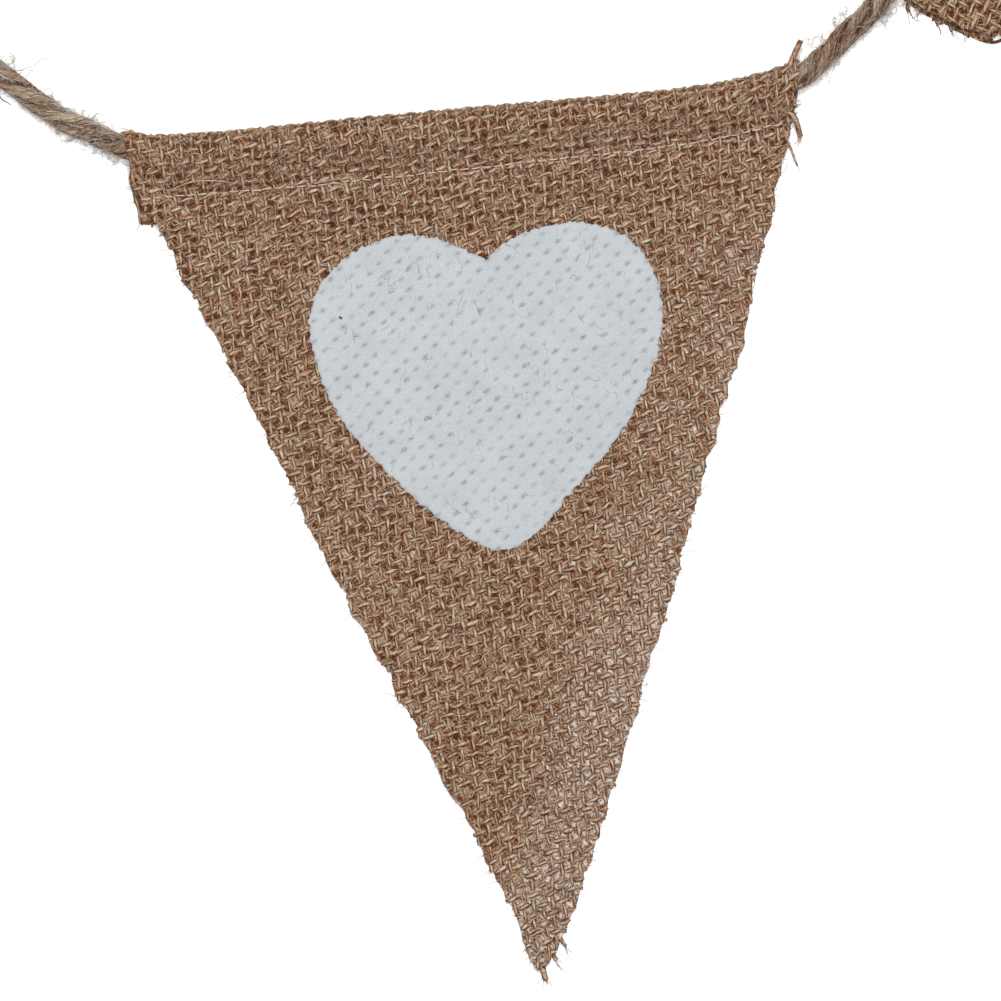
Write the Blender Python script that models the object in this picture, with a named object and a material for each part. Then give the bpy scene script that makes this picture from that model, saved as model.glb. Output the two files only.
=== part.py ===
"""Hessian bunting: two triangular pennants threaded on one jute twine, laid out on a flat surface.

Each pennant is a single triangle of hessian. Its straight top strip is folded back round the twine
and lies under the front, sewn down a little above the strip's raw edge, so that it forms a casing.
The second pennant hangs on the same twine and is turned further round, as the twine bends upwards.
Past the pennants the twine's two tie ends are wound into flat coils, each held by a thread tie,
and each ends in a knot.

The sizes below are millimetres and the model is in metres, +Z up, with the surface at height 0.
A pennant's own coordinates are across, from its top left corner to the right, and down, from the
line between its two top corners to the tip.
"""

import bpy
import bmesh
from bisect import bisect_right
from math import ceil
from math import cos
from math import exp
from math import hypot
from math import pi
from math import radians
from math import sin
from mathutils import Vector

MM = 0.001

# Driving dimensions
CLOTH_THICKNESS = 1.5
TWINE_DIAMETER = 4.8
TWINE_LAY = 25.0
TWINE_STRANDS = 3
TWINE_GROOVE = 0.16
LAYER_GAP = 0.3
CASING_CLEARANCE = 0.5
STITCH_DOWN = 15.5
COLUMNS = 18

TWINE_RADIUS = TWINE_DIAMETER / 2
FOLD_RADIUS = TWINE_RADIUS + CASING_CLEARANCE + CLOTH_THICKNESS / 2
FLAP_MIDDLE = CLOTH_THICKNESS / 2
FRONT_OVER_FLAP = CLOTH_THICKNESS * 1.5 + LAYER_GAP
CASING_HEIGHT = FLAP_MIDDLE + FOLD_RADIUS

# Places of the pennants' top left corners from the middle of both pennants' outline, and how far
# each top edge is turned from the X axis.
HEART_CORNER = (-183.3, 14.9)
HEART_TURN = 5.72
PLAIN_CORNER = (-17.2, 48.8)
PLAIN_TURN = 55.5

# Front of the pennant with the heart: how far down, and where its left and right cut edges are.
HEART_FRONT = (
    # down, left, right
    (-3.0, -0.2, 148.0),
    (6.0, -1.1, 148.4),
    (13.3, 1.0, 145.6),
    (21.0, 4.5, 142.8),
    (30.6, 8.4, 139.8),
    (44.3, 13.9, 134.7),
    (58.3, 18.8, 130.0),
    (76.9, 25.5, 122.9),
    (94.6, 31.9, 116.3),
    (112.1, 38.8, 109.6),
    (124.7, 45.0, 103.7),
    (142.2, 52.3, 96.6),
    (163.9, 60.9, 87.3),
    (182.5, 68.0, 80.0),
    (190.5, 70.2, 76.0),
    (194.3, 71.3, 72.4),
)

# The strip folded back under it, whose left corner shows beside the slanted front.
HEART_FLAP = (
    # down, left, right
    (-3.0, -0.2, 148.0),
    (6.0, -1.1, 148.4),
    (13.3, -1.3, 145.0),
    (19.9, 0.2, 142.0),
    (21.0, 1.2, 141.2),
)

# Where the twine lies in the casing: it is highest at the two corners and sags between them.
HEART_TWINE = (
    # across, down
    (-3.0, 2.9),
    (0.0, 3.9),
    (4.4, 5.3),
    (19.0, 6.1),
    (46.0, 6.2),
    (80.0, 6.5),
    (108.0, 6.8),
    (120.0, 6.8),
    (132.0, 6.2),
    (141.0, 5.0),
    (145.0, 4.0),
    (148.0, 2.9),
    (150.5, 1.8),
)

# The pennant without a heart is cut from the same pattern, with a deeper strip.
PLAIN_FRONT = (
    # down, left, right
    (-3.0, -0.6, 148.0),
    (6.0, -1.7, 148.2),
    (13.3, -0.4, 145.8),
    (22.0, 1.8, 142.2),
    (28.6, 4.4, 139.7),
    (44.3, 11.6, 133.6),
    (58.3, 17.6, 128.2),
    (76.9, 25.2, 120.4),
    (94.6, 32.4, 113.2),
    (112.1, 39.6, 106.0),
    (124.7, 44.8, 100.9),
    (142.2, 51.6, 93.7),
    (163.9, 60.4, 85.2),
    (182.5, 67.8, 77.6),
    (190.5, 71.0, 74.6),
    (194.0, 72.2, 73.3),
)

PLAIN_FLAP = (
    # down, left, right
    (-3.0, -0.6, 148.0),
    (6.0, -1.7, 148.2),
    (13.3, -1.1, 145.4),
    (22.0, 0.6, 141.4),
    (28.0, 2.1, 138.6),
)

PLAIN_TWINE = (
    # across, down
    (-3.0, 2.6),
    (0.0, 3.4),
    (5.0, 4.5),
    (20.0, 5.5),
    (50.0, 6.2),
    (80.0, 6.4),
    (110.0, 6.2),
    (130.0, 5.4),
    (142.0, 4.3),
    (148.0, 3.5),
    (151.0, 3.1),
)

# Section across the casing: the strip lies flat up to the fold, which goes round the twine at
# these angles from level, and the front then comes down to the strip and past it to the surface.
# The rows of the descent follow part of the twine's sag from its usual place.
STRIP_FLAT_TO = 10.0
FOLD_ANGLES = (-90, -120, -150, -180, -210, -240, -270, -310)
USUAL_TWINE_DOWN = 6.5
DESCENT_FOLLOWS = 0.5
DESCENT = (
    # down, height of the middle of the cloth
    (12.2, 4.5),
    (14.3, 3.0),
)
STEP_DOWN = (
    # past the strip's raw edge, height of the middle of the cloth
    (2.5, 1.7),
    (5.6, FLAP_MIDDLE),
)
FLAT_PAST_STITCH = 0.6
FIRST_FLAT_ROW = 2.0

# Places where the cloth stands off the surface.
HEART_LIFTS = (
    # across, down, height, reach
    (30.0, 104.0, 1.1, 15.0),
    (52.0, 150.0, 0.8, 14.0),
    (128.0, 78.0, 0.9, 14.0),
    (104.0, 134.0, 0.8, 13.0),
    (72.0, 196.0, 1.7, 14.0),
)
PLAIN_LIFTS = (
    # across, down, height, reach
    (24.0, 86.0, 1.0, 16.0),
    (112.0, 110.0, 1.2, 15.0),
    (72.0, 196.0, 1.4, 13.0),
)
LIFT_CUT = 0.25

# Free stretches of the twine, from the left coil to the heart pennant, between the pennants and
# from the plain pennant to the right coil.
LEFT_ROUTE = (
    # x, y, height of the middle
    (-220.7, 34.2, 2.9),
    (-218.5, 32.5, 2.7),
    (-216.2, 30.8, 2.6),
    (-212.3, 27.7, 2.5),
    (-209.2, 25.5, 2.5),
    (-205.7, 22.6, 2.6),
    (-202.3, 20.2, 2.8),
    (-198.6, 17.8, 3.1),
    (-195.3, 16.1, 3.5),
    (-191.0, 14.4, 3.9),
)
MIDDLE_ROUTE = (
    # x, y, height of the middle
    (-30.3, 31.0, 4.1),
    (-28.0, 33.3, 3.7),
    (-25.9, 35.4, 3.4),
    (-23.7, 37.5, 3.3),
    (-21.5, 39.5, 3.5),
    (-19.2, 41.8, 4.0),
)
RIGHT_ROUTE = (
    # x, y, height of the middle
    (73.5, 174.5, 4.0),
    (76.3, 179.0, 3.4),
    (78.0, 184.4, 2.9),
    (77.8, 190.4, 2.6),
    (75.0, 196.0, 2.5),
    (69.8, 200.0, 2.5),
    (63.0, 202.0, 2.5),
    (56.0, 202.6, 2.5),
    (49.2, 202.9, 2.7),
    (44.3, 203.1, 2.9),
)
# The first point and the last three of a casing's table lie at its mouths, where the twine shows.
MOUTH_START = 1
MOUTH_END = 3
SEEN_STEP = 2.3
HIDDEN_STEP = 6.5
TWINE_SIDES = 12

# Coils of the tie ends, wound flat from the outside in.
COIL_OUTER_TURN = 31.5
COIL_PITCH = 5.0
COIL_TURNS = 2.5
COIL_LIFT = 0.9
LEFT_COIL = (-254.3, 20.6)
RIGHT_COIL = (24.0, 173.0)
COIL_SEGMENTS = 48
COIL_CORNER = 2.2
COIL_ROOM = 0.05

COIL_INSIDE = COIL_OUTER_TURN - COIL_PITCH * COIL_TURNS - TWINE_RADIUS - COIL_ROOM
COIL_OUTSIDE = COIL_OUTER_TURN + TWINE_RADIUS + COIL_ROOM
COIL_TOP = COIL_LIFT + TWINE_DIAMETER + COIL_ROOM

# Thread tie round each coil
TIE_THICKNESS = 0.6
TIE_WIDTH = 3.2
LEFT_TIE_ANGLE = 200.0
RIGHT_TIE_ANGLE = 225.0

# Overhand knot near the middle of each coil, with its short end: the outline that is turned.
KNOT_OUTLINE = (
    # along, radius
    (-6.2, 2.1),
    (-5.4, 2.7),
    (-4.2, 4.0),
    (-1.8, 5.0),
    (1.2, 4.9),
    (3.6, 4.1),
    (4.9, 2.6),
    (8.0, 2.4),
    (12.0, 2.7),
    (15.0, 3.3),
)
KNOT_RADIUS = 5.0
KNOT_SIDES = 16
LEFT_KNOT_ANGLE = 235.0
RIGHT_KNOT_ANGLE = 262.0
KNOT_SLANT = 38.0

# Materials: colour, roughness
HESSIAN = ("hessian", (0.36, 0.22, 0.12, 1.0), 0.9)
JUTE = ("jute_twine", (0.40, 0.28, 0.17, 1.0), 0.92)
THREAD = ("thread", (0.62, 0.47, 0.36, 1.0), 0.7)


def clear_scene():
    for thing in list(bpy.data.objects):
        bpy.data.objects.remove(thing, do_unlink=True)


def material(name, colour, roughness):
    made = bpy.data.materials.get(name) or bpy.data.materials.new(name)
    made.use_nodes = True
    shader = made.node_tree.nodes["Principled BSDF"]
    shader.inputs["Base Color"].default_value = colour
    shader.inputs["Roughness"].default_value = roughness
    shader.inputs["Metallic"].default_value = 0.0
    made.diffuse_color = colour
    return made


def between(table, place, column):
    """The table's column at a place along its first column, on straight lines."""
    places = [row[0] for row in table]
    last = len(table) - 1
    index = min(max(bisect_right(places, place), 1), last)
    low = table[index - 1]
    high = table[index]
    share = (place - low[0]) / (high[0] - low[0])
    share = min(max(share, 0.0), 1.0)
    return low[column] + (high[column] - low[column]) * share


def curve_point(points, index, share):
    """A point of the smooth curve that passes through each point of a route."""
    before = points[max(index - 1, 0)]
    start = points[index]
    end = points[index + 1]
    after = points[min(index + 2, len(points) - 1)]
    square = share * share
    cube = square * share
    return 0.5 * (
        2.0 * start
        + (end - before) * share
        + (2.0 * before - 5.0 * start + 4.0 * end - after) * square
        + (3.0 * start - before - 3.0 * end + after) * cube
    )


def twine_down(table, across):
    """How far down the twine lies in a casing, on a smooth curve through the table."""
    points = [Vector((row[0], row[1], 0.0)) for row in table]
    across = min(max(across, points[0].x), points[-1].x)
    index = 0
    while index < len(points) - 2 and points[index + 1].x < across:
        index += 1
    low = 0.0
    high = 1.0
    for _ in range(24):
        middle = (low + high) / 2
        if curve_point(points, index, middle).x < across:
            low = middle
        else:
            high = middle
    return curve_point(points, index, (low + high) / 2).y


def on_surface(corner, turn, across, down):
    """A pennant's own place as x and y on the surface."""
    angle = radians(turn)
    x = corner[0] + across * cos(angle) + down * sin(angle)
    y = corner[1] + across * sin(angle) - down * cos(angle)
    return x, y


def lift(lifts, across, down):
    """How far the cloth stands off the surface at a place, exactly nothing over most of it."""
    total = 0.0
    for place_across, place_down, height, reach in lifts:
        away = hypot(across - place_across, down - place_down) / reach
        total += height * max(exp(-away * away) - LIFT_CUT, 0.0) / (1.0 - LIFT_CUT)
    return total


def section_rows(front, flap_depth):
    """The rows of a pennant from the strip's raw edge, round the fold and down to the tip.

    Each row is a kind and two numbers: "under" and "over" rows lie at a fixed way down and a
    height, "round" rows at an angle about the twine, and "slope" rows move with the twine.
    """
    rows = [
        ("under", flap_depth, FLAP_MIDDLE),
        ("under", (flap_depth + STRIP_FLAT_TO) / 2, FLAP_MIDDLE),
        ("under", STRIP_FLAT_TO, FLAP_MIDDLE),
    ]
    for angle in FOLD_ANGLES:
        rows.append(("round", angle, 0.0))
    for down, height in DESCENT:
        rows.append(("slope", down, height))
    rows.append(("over", STITCH_DOWN + FLAT_PAST_STITCH, FRONT_OVER_FLAP))
    rows.append(("over", flap_depth, FRONT_OVER_FLAP))
    for past, height in STEP_DOWN:
        rows.append(("over", flap_depth + past, height))
    flat_from = flap_depth + STEP_DOWN[-1][0] + FIRST_FLAT_ROW
    for row in front:
        if row[0] > flat_from:
            rows.append(("over", row[0], FLAP_MIDDLE))
    return rows


def cloth_middle(row, share, front, flap, twine, lifts):
    """Across, down and height of the cloth's middle, at a share of a row's width."""
    kind, first, height = row
    edges = flap if kind == "under" else front
    guess = USUAL_TWINE_DOWN if kind == "round" else first
    left = between(edges, guess, 1)
    right = between(edges, guess, 2)
    across = left + (right - left) * share
    if kind == "round":
        angle = radians(first)
        down = twine_down(twine, across) + FOLD_RADIUS * cos(angle)
        return across, down, CASING_HEIGHT + FOLD_RADIUS * sin(angle)
    if kind == "slope":
        down = first + DESCENT_FOLLOWS * (twine_down(twine, across) - USUAL_TWINE_DOWN)
        return across, down, height
    if kind == "over" and height == FLAP_MIDDLE:
        height += lift(lifts, across, first)
    return across, first, height


def pennant(name, corner, turn, front, flap, twine, lifts):
    """One folded sheet, as a closed solid of even thickness about its middle."""
    rows = section_rows(front, flap[-1][0])
    grid = []
    for row in rows:
        grid.append(
            [
                Vector(cloth_middle(row, column / COLUMNS, front, flap, twine, lifts))
                for column in range(COLUMNS + 1)
            ]
        )
    mesh = bmesh.new()
    faces_up = []
    faces_down = []
    for index, line in enumerate(grid):
        before = grid[max(index - 1, 0)]
        after = grid[min(index + 1, len(grid) - 1)]
        top = []
        bottom = []
        for column, middle in enumerate(line):
            along = after[column] - before[column]
            length = hypot(along.y, along.z)
            out = Vector((0.0, -along.z / length, along.y / length)) * (CLOTH_THICKNESS / 2)
            for points, place in ((top, middle + out), (bottom, middle - out)):
                points.append(mesh.verts.new((place.x * MM, -place.y * MM, place.z * MM)))
        faces_up.append(top)
        faces_down.append(bottom)
    for index in range(len(grid) - 1):
        for column in range(COLUMNS):
            mesh.faces.new(
                (
                    faces_up[index][column],
                    faces_up[index + 1][column],
                    faces_up[index + 1][column + 1],
                    faces_up[index][column + 1],
                )
            )
            mesh.faces.new(
                (
                    faces_down[index][column],
                    faces_down[index][column + 1],
                    faces_down[index + 1][column + 1],
                    faces_down[index + 1][column],
                )
            )
    rim = [(index, 0) for index in range(len(grid))]
    rim += [(len(grid) - 1, column) for column in range(1, COLUMNS + 1)]
    rim += [(index, COLUMNS) for index in range(len(grid) - 2, -1, -1)]
    rim += [(0, column) for column in range(COLUMNS - 1, 0, -1)]
    for place, (index, column) in enumerate(rim):
        next_index, next_column = rim[(place + 1) % len(rim)]
        mesh.faces.new(
            (
                faces_up[index][column],
                faces_down[index][column],
                faces_down[next_index][next_column],
                faces_up[next_index][next_column],
            )
        )
    made = finish(name, mesh, HESSIAN)
    made.location = (corner[0] * MM, corner[1] * MM, 0.0)
    made.rotation_euler = (0.0, 0.0, radians(turn))
    return made


def finish(name, mesh, finish_of):
    """A named object from a closed mesh, faces outwards, shaded smooth but for its sharp edges."""
    bmesh.ops.recalc_face_normals(mesh, faces=mesh.faces)
    data = bpy.data.meshes.new(name)
    mesh.to_mesh(data)
    mesh.free()
    data.shade_smooth()
    data.set_sharp_from_angle(angle=radians(40.0))
    made = bpy.data.objects.new(name, data)
    bpy.context.collection.objects.link(made)
    data.materials.append(material(*finish_of))
    return made


def whole_route():
    """The twine's points from coil to coil, each with whether the stretch after it shows."""
    points = [(Vector(point), True) for point in LEFT_ROUTE]
    for corner, turn, table, after in (
        (HEART_CORNER, HEART_TURN, HEART_TWINE, MIDDLE_ROUTE),
        (PLAIN_CORNER, PLAIN_TURN, PLAIN_TWINE, RIGHT_ROUTE),
    ):
        for number, (across, down) in enumerate(table):
            x, y = on_surface(corner, turn, across, down)
            inside = MOUTH_START <= number < len(table) - MOUTH_END
            points.append((Vector((x, y, CASING_HEIGHT)), not inside))
        points += [(Vector(point), True) for point in after]
    return points


def twine_rings():
    """Middles, directions, ways along and groove depths of the twine's rings."""
    route = whole_route()
    points = [point for point, _ in route]
    middles = []
    shows = []
    for index in range(len(points) - 1):
        seen = route[index][1]
        step = SEEN_STEP if seen else HIDDEN_STEP
        count = max(ceil((points[index + 1] - points[index]).length / step), 1)
        for number in range(count):
            middles.append(curve_point(points, index, number / count))
            shows.append(seen)
    middles.append(points[-1])
    shows.append(True)
    rings = []
    way = 0.0
    for index, middle in enumerate(middles):
        before = middles[max(index - 1, 0)]
        after = middles[min(index + 1, len(middles) - 1)]
        if index:
            way += (middle - before).length
        near_end = shows[max(index - 1, 0)] and shows[index]
        rings.append((middle, (after - before).normalized(), way, TWINE_GROOVE if near_end else 0.0))
    return rings


def twine():
    """The twine between the coils: three laid strands as one ridged, twisting tube."""
    mesh = bmesh.new()
    rings = []
    up = Vector((0.0, 0.0, 1.0))
    for middle, direction, way, groove in twine_rings():
        side = direction.cross(up).normalized()
        over = side.cross(direction).normalized()
        ring = []
        for number in range(TWINE_SIDES):
            angle = 2 * pi * number / TWINE_SIDES
            ridge = cos(TWINE_STRANDS * (angle - 2 * pi * way / TWINE_LAY))
            radius = TWINE_RADIUS * (1.0 - groove * (0.5 - 0.5 * ridge))
            if groove == 0.0:
                radius = TWINE_RADIUS * (1.0 - TWINE_GROOVE / 2)
            place = middle + side * (radius * cos(angle)) + over * (radius * sin(angle))
            ring.append(mesh.verts.new(place * MM))
        rings.append(ring)
    bridge(mesh, rings)
    return finish("twine", mesh, JUTE)


def bridge(mesh, rings):
    """Joins rings of points one after another and closes both ends."""
    sides = len(rings[0])
    for first, second in zip(rings, rings[1:]):
        for number in range(sides):
            after = (number + 1) % sides
            mesh.faces.new((first[number], first[after], second[after], second[number]))
    mesh.faces.new(rings[0])
    mesh.faces.new(rings[-1])


def coil(name, middle):
    """The flat coil's outer shape: a turned ring with rounded shoulders."""
    outline = []
    for across, height, start in (
        (COIL_OUTSIDE - COIL_CORNER, COIL_TOP - COIL_CORNER, 0),
        (COIL_INSIDE + COIL_CORNER, COIL_TOP - COIL_CORNER, 90),
        (COIL_INSIDE + COIL_CORNER, COIL_LIFT + COIL_CORNER, 180),
        (COIL_OUTSIDE - COIL_CORNER, COIL_LIFT + COIL_CORNER, 270),
    ):
        for step in (0, 45, 90):
            angle = radians(start + step)
            outline.append((across + COIL_CORNER * cos(angle), height + COIL_CORNER * sin(angle)))
    mesh = bmesh.new()
    rings = []
    for number in range(COIL_SEGMENTS):
        angle = 2 * pi * number / COIL_SEGMENTS
        rings.append(
            [
                mesh.verts.new((radius * cos(angle) * MM, radius * sin(angle) * MM, height * MM))
                for radius, height in outline
            ]
        )
    for number in range(COIL_SEGMENTS):
        ring = rings[number]
        next_ring = rings[(number + 1) % COIL_SEGMENTS]
        for point in range(len(outline)):
            after = (point + 1) % len(outline)
            mesh.faces.new((ring[point], ring[after], next_ring[after], next_ring[point]))
    made = finish(name, mesh, JUTE)
    made.location = (middle[0] * MM, middle[1] * MM, 0.0)
    return made


def tie(name, middle, angle):
    """The thread wound round a coil's turns, as one flat loop."""
    low = COIL_INSIDE - LAYER_GAP
    high = COIL_OUTSIDE + LAYER_GAP
    top = COIL_TOP + LAYER_GAP
    inner = ((low, TIE_THICKNESS), (high, TIE_THICKNESS), (high, top), (low, top))
    outer = (
        (low - TIE_THICKNESS, 0.0),
        (high + TIE_THICKNESS, 0.0),
        (high + TIE_THICKNESS, top + TIE_THICKNESS),
        (low - TIE_THICKNESS, top + TIE_THICKNESS),
    )
    mesh = bmesh.new()
    loops = []
    for outline, side in ((inner, -1), (outer, -1), (outer, 1), (inner, 1)):
        loops.append(
            [
                mesh.verts.new((across * MM, side * TIE_WIDTH / 2 * MM, height * MM))
                for across, height in outline
            ]
        )
    for number in range(4):
        first = loops[number]
        second = loops[(number + 1) % 4]
        for point in range(4):
            after = (point + 1) % 4
            mesh.faces.new((first[point], first[after], second[after], second[point]))
    made = finish(name, mesh, THREAD)
    made.location = (middle[0] * MM, middle[1] * MM, 0.0)
    made.rotation_euler = (0.0, 0.0, radians(angle))
    return made


def knot(name, middle, angle):
    """An overhand knot with its short end, turned about the twine's direction."""
    mesh = bmesh.new()
    rings = []
    for along, radius in KNOT_OUTLINE:
        ring = []
        for number in range(KNOT_SIDES):
            turn = 2 * pi * (number + 0.5) / KNOT_SIDES
            place = (along * MM, radius * cos(turn) * MM, radius * sin(turn) * MM)
            ring.append(mesh.verts.new(place))
        rings.append(ring)
    bridge(mesh, rings)
    made = finish(name, mesh, JUTE)
    rear, rear_radius = KNOT_OUTLINE[0]
    slant = radians(KNOT_SLANT)
    reach = rear_radius * sin(slant) - rear * cos(slant)
    from_middle = COIL_INSIDE - 2 * LAYER_GAP - reach
    made.location = (
        (middle[0] + from_middle * cos(radians(angle))) * MM,
        (middle[1] + from_middle * sin(radians(angle))) * MM,
        KNOT_RADIUS * MM,
    )
    made.rotation_euler = (0.0, 0.0, radians(angle + 180.0 - KNOT_SLANT))
    return made


def build():
    clear_scene()
    pennant(
        "pennant_heart", HEART_CORNER, HEART_TURN, HEART_FRONT, HEART_FLAP, HEART_TWINE, HEART_LIFTS
    )
    pennant(
        "pennant_plain", PLAIN_CORNER, PLAIN_TURN, PLAIN_FRONT, PLAIN_FLAP, PLAIN_TWINE, PLAIN_LIFTS
    )
    twine()
    coil("coil_left", LEFT_COIL)
    coil("coil_right", RIGHT_COIL)
    tie("tie_left", LEFT_COIL, LEFT_TIE_ANGLE)
    tie("tie_right", RIGHT_COIL, RIGHT_TIE_ANGLE)
    knot("knot_left", LEFT_COIL, LEFT_KNOT_ANGLE)
    knot("knot_right", RIGHT_COIL, RIGHT_KNOT_ANGLE)


build()
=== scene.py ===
"""Looks of the hessian bunting: every yarn of both pennants, the painted heart, the sewing, the
frayed ends and the laid jute twine with its coils, ties and knots, laid on a pale surface.

Lengths are millimetres until a mesh is made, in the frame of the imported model. A pennant's own
coordinates are across, from its top left corner to the right, and down, towards its tip. Its cloth
has a way along it too, nothing at the fold round the twine, more down the front and less than
nothing along the strip that is folded back.
"""

import bpy
import numpy as np
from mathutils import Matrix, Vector


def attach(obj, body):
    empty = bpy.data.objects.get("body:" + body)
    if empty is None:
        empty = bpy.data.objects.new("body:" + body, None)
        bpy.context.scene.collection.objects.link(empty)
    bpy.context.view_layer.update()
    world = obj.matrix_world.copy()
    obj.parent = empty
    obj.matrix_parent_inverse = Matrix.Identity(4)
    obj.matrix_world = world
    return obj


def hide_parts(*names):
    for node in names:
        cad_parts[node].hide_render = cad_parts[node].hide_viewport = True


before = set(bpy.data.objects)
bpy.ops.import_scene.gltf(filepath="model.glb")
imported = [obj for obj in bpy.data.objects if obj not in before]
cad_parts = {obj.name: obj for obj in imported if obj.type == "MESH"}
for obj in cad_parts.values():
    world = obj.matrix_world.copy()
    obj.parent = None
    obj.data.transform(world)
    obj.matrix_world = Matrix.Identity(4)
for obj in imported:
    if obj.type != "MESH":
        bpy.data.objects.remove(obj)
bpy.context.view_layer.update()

MM = 0.001
LOWEST = 0.02
UPRIGHT = (0.1, 0.2, 1.0)

# The photograph: its side in pixels, its scale, and the pixel of the heart pennant's corner.
PHOTO_SIDE = 1001
PIXEL = 0.2215
CORNER_PIXEL = (131.0, 132.0)

# Sizes that the model shares with the solids
CLOTH_THICKNESS = 1.5
TWINE_DIAMETER = 4.8
TWINE_LAY = 25.0
CASING_CLEARANCE = 0.5
LAYER_GAP = 0.3
STITCH_DOWN = 15.5
TWINE_RADIUS = TWINE_DIAMETER / 2
FOLD_RADIUS = TWINE_RADIUS + CASING_CLEARANCE + CLOTH_THICKNESS / 2
FLAP_MIDDLE = CLOTH_THICKNESS / 2
FRONT_OVER_FLAP = CLOTH_THICKNESS * 1.5 + LAYER_GAP
CASING_HEIGHT = FLAP_MIDDLE + FOLD_RADIUS
USUAL_TWINE_DOWN = 6.5
STRIP_FLAT_TO = 10.0
FOLD_END_ANGLE = -310.0
LIFT_CUT = 0.25

HEART_CORNER = (-183.3, 14.9)
HEART_TURN = 5.72
PLAIN_CORNER = (-17.2, 48.8)
PLAIN_TURN = 55.5

HEART_FRONT = (
    # down, left, right
    (-3.0, -0.2, 148.0),
    (6.0, -1.1, 148.4),
    (13.3, 1.0, 145.6),
    (21.0, 4.5, 142.8),
    (30.6, 8.4, 139.8),
    (44.3, 13.9, 134.7),
    (58.3, 18.8, 130.0),
    (76.9, 25.5, 122.9),
    (94.6, 31.9, 116.3),
    (112.1, 38.8, 109.6),
    (124.7, 45.0, 103.7),
    (142.2, 52.3, 96.6),
    (163.9, 60.9, 87.3),
    (182.5, 68.0, 80.0),
    (190.5, 70.2, 76.0),
    (194.3, 71.3, 72.4),
)
HEART_FLAP = (
    # down, left, right
    *HEART_FRONT[:2],
    (13.3, -1.3, 145.0),
    (19.9, 0.2, 142.0),
    (21.0, 1.2, 141.2),
)
# How far the cut edges swing off the outline's straight runs; less is further left
HEART_TRIM = (
    # down, left, right
    (-3.0, -2.5, 0.0),
    (0.5, -2.3, 0.0),
    (3.0, -1.3, 0.0),
    (6.5, -0.1, 0.0),
    (9.0, -0.6, 0.0),
    (13.0, -2.0, 0.0),
    (16.0, -2.0, 0.0),
    (18.5, -1.2, 0.0),
    (21.0, -0.4, 0.0),
    (25.0, -0.9, 0.5),
    (37.0, -1.4, 0.0),
    (50.0, -0.2, 0.0),
    (68.0, 0.5, 0.6),
    (86.0, 0.2, -0.2),
    (93.0, -0.6, 0.5),
    (105.0, 0.3, -0.5),
    (117.0, -0.2, 1.0),
    (128.0, -0.8, 0.4),
    (150.0, 0.0, 0.6),
    (172.0, -0.2, 0.7),
    (181.0, -0.2, -0.5),
    (190.0, -0.6, -0.8),
)
RAGGED = 0.2
RAGGED_FROM = 22.0
RAGGED_WAVES = (4.6, 6.5, 9.0)
HEART_TWINE = (
    # across, down
    (-3.0, 2.9),
    (0.0, 3.9),
    (4.4, 5.3),
    (19.0, 6.1),
    (46.0, 6.2),
    (80.0, 6.5),
    (108.0, 6.8),
    (120.0, 6.8),
    (132.0, 6.2),
    (141.0, 5.0),
    (145.0, 4.0),
    (148.0, 2.9),
    (150.5, 1.8),
)
HEART_LIFTS = (
    # across, down, height, reach
    (30.0, 104.0, 1.1, 15.0),
    (52.0, 150.0, 0.8, 14.0),
    (128.0, 78.0, 0.9, 14.0),
    (104.0, 134.0, 0.8, 13.0),
    (72.0, 196.0, 1.7, 14.0),
)
PLAIN_FRONT = (
    # down, left, right
    (-3.0, -0.6, 148.0),
    (6.0, -1.7, 148.2),
    (13.3, -0.4, 145.8),
    (22.0, 1.8, 142.2),
    (28.6, 4.4, 139.7),
    (44.3, 11.6, 133.6),
    (58.3, 17.6, 128.2),
    (76.9, 25.2, 120.4),
    (94.6, 32.4, 113.2),
    (112.1, 39.6, 106.0),
    (124.7, 44.8, 100.9),
    (142.2, 51.6, 93.7),
    (163.9, 60.4, 85.2),
    (182.5, 67.8, 77.6),
    (190.5, 71.0, 74.6),
    (194.0, 72.2, 73.3),
)
PLAIN_FLAP = (
    # down, left, right
    *PLAIN_FRONT[:2],
    (13.3, -1.1, 145.4),
    (22.0, 0.6, 141.4),
    (28.0, 2.1, 138.6),
)
PLAIN_TWINE = (
    # across, down
    (-3.0, 2.6),
    (0.0, 3.4),
    (5.0, 4.5),
    (20.0, 5.5),
    (50.0, 6.2),
    (80.0, 6.4),
    (110.0, 6.2),
    (130.0, 5.4),
    (142.0, 4.3),
    (148.0, 3.5),
    (151.0, 3.1),
)
PLAIN_LIFTS = (
    # across, down, height, reach
    (24.0, 86.0, 1.0, 16.0),
    (112.0, 110.0, 1.2, 15.0),
    (72.0, 196.0, 1.4, 13.0),
)

# The twine's free stretches, as the solids have them
LEFT_ROUTE = (
    # x, y, height of the middle
    (-220.7, 34.2, 2.9),
    (-218.5, 32.5, 2.7),
    (-216.2, 30.8, 2.6),
    (-212.3, 27.7, 2.5),
    (-209.2, 25.5, 2.5),
    (-205.7, 22.6, 2.6),
    (-202.3, 20.2, 2.8),
    (-198.6, 17.8, 3.1),
    (-195.3, 16.1, 3.5),
    (-191.0, 14.4, 3.9),
)
MIDDLE_ROUTE = (
    # x, y, height of the middle
    (-30.3, 31.0, 4.1),
    (-28.0, 33.3, 3.7),
    (-25.9, 35.4, 3.4),
    (-23.7, 37.5, 3.3),
    (-21.5, 39.5, 3.5),
    (-19.2, 41.8, 4.0),
)
RIGHT_ROUTE = (
    # x, y, height of the middle
    (73.5, 174.5, 4.0),
    (76.3, 179.0, 3.4),
    (78.0, 184.4, 2.9),
    (77.8, 190.4, 2.6),
    (75.0, 196.0, 2.5),
    (69.8, 200.0, 2.5),
    (63.0, 202.0, 2.5),
    (56.0, 202.6, 2.5),
    (49.2, 202.9, 2.7),
    (44.3, 203.1, 2.9),
)
COIL_OUTER_TURN = 31.5
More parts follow.
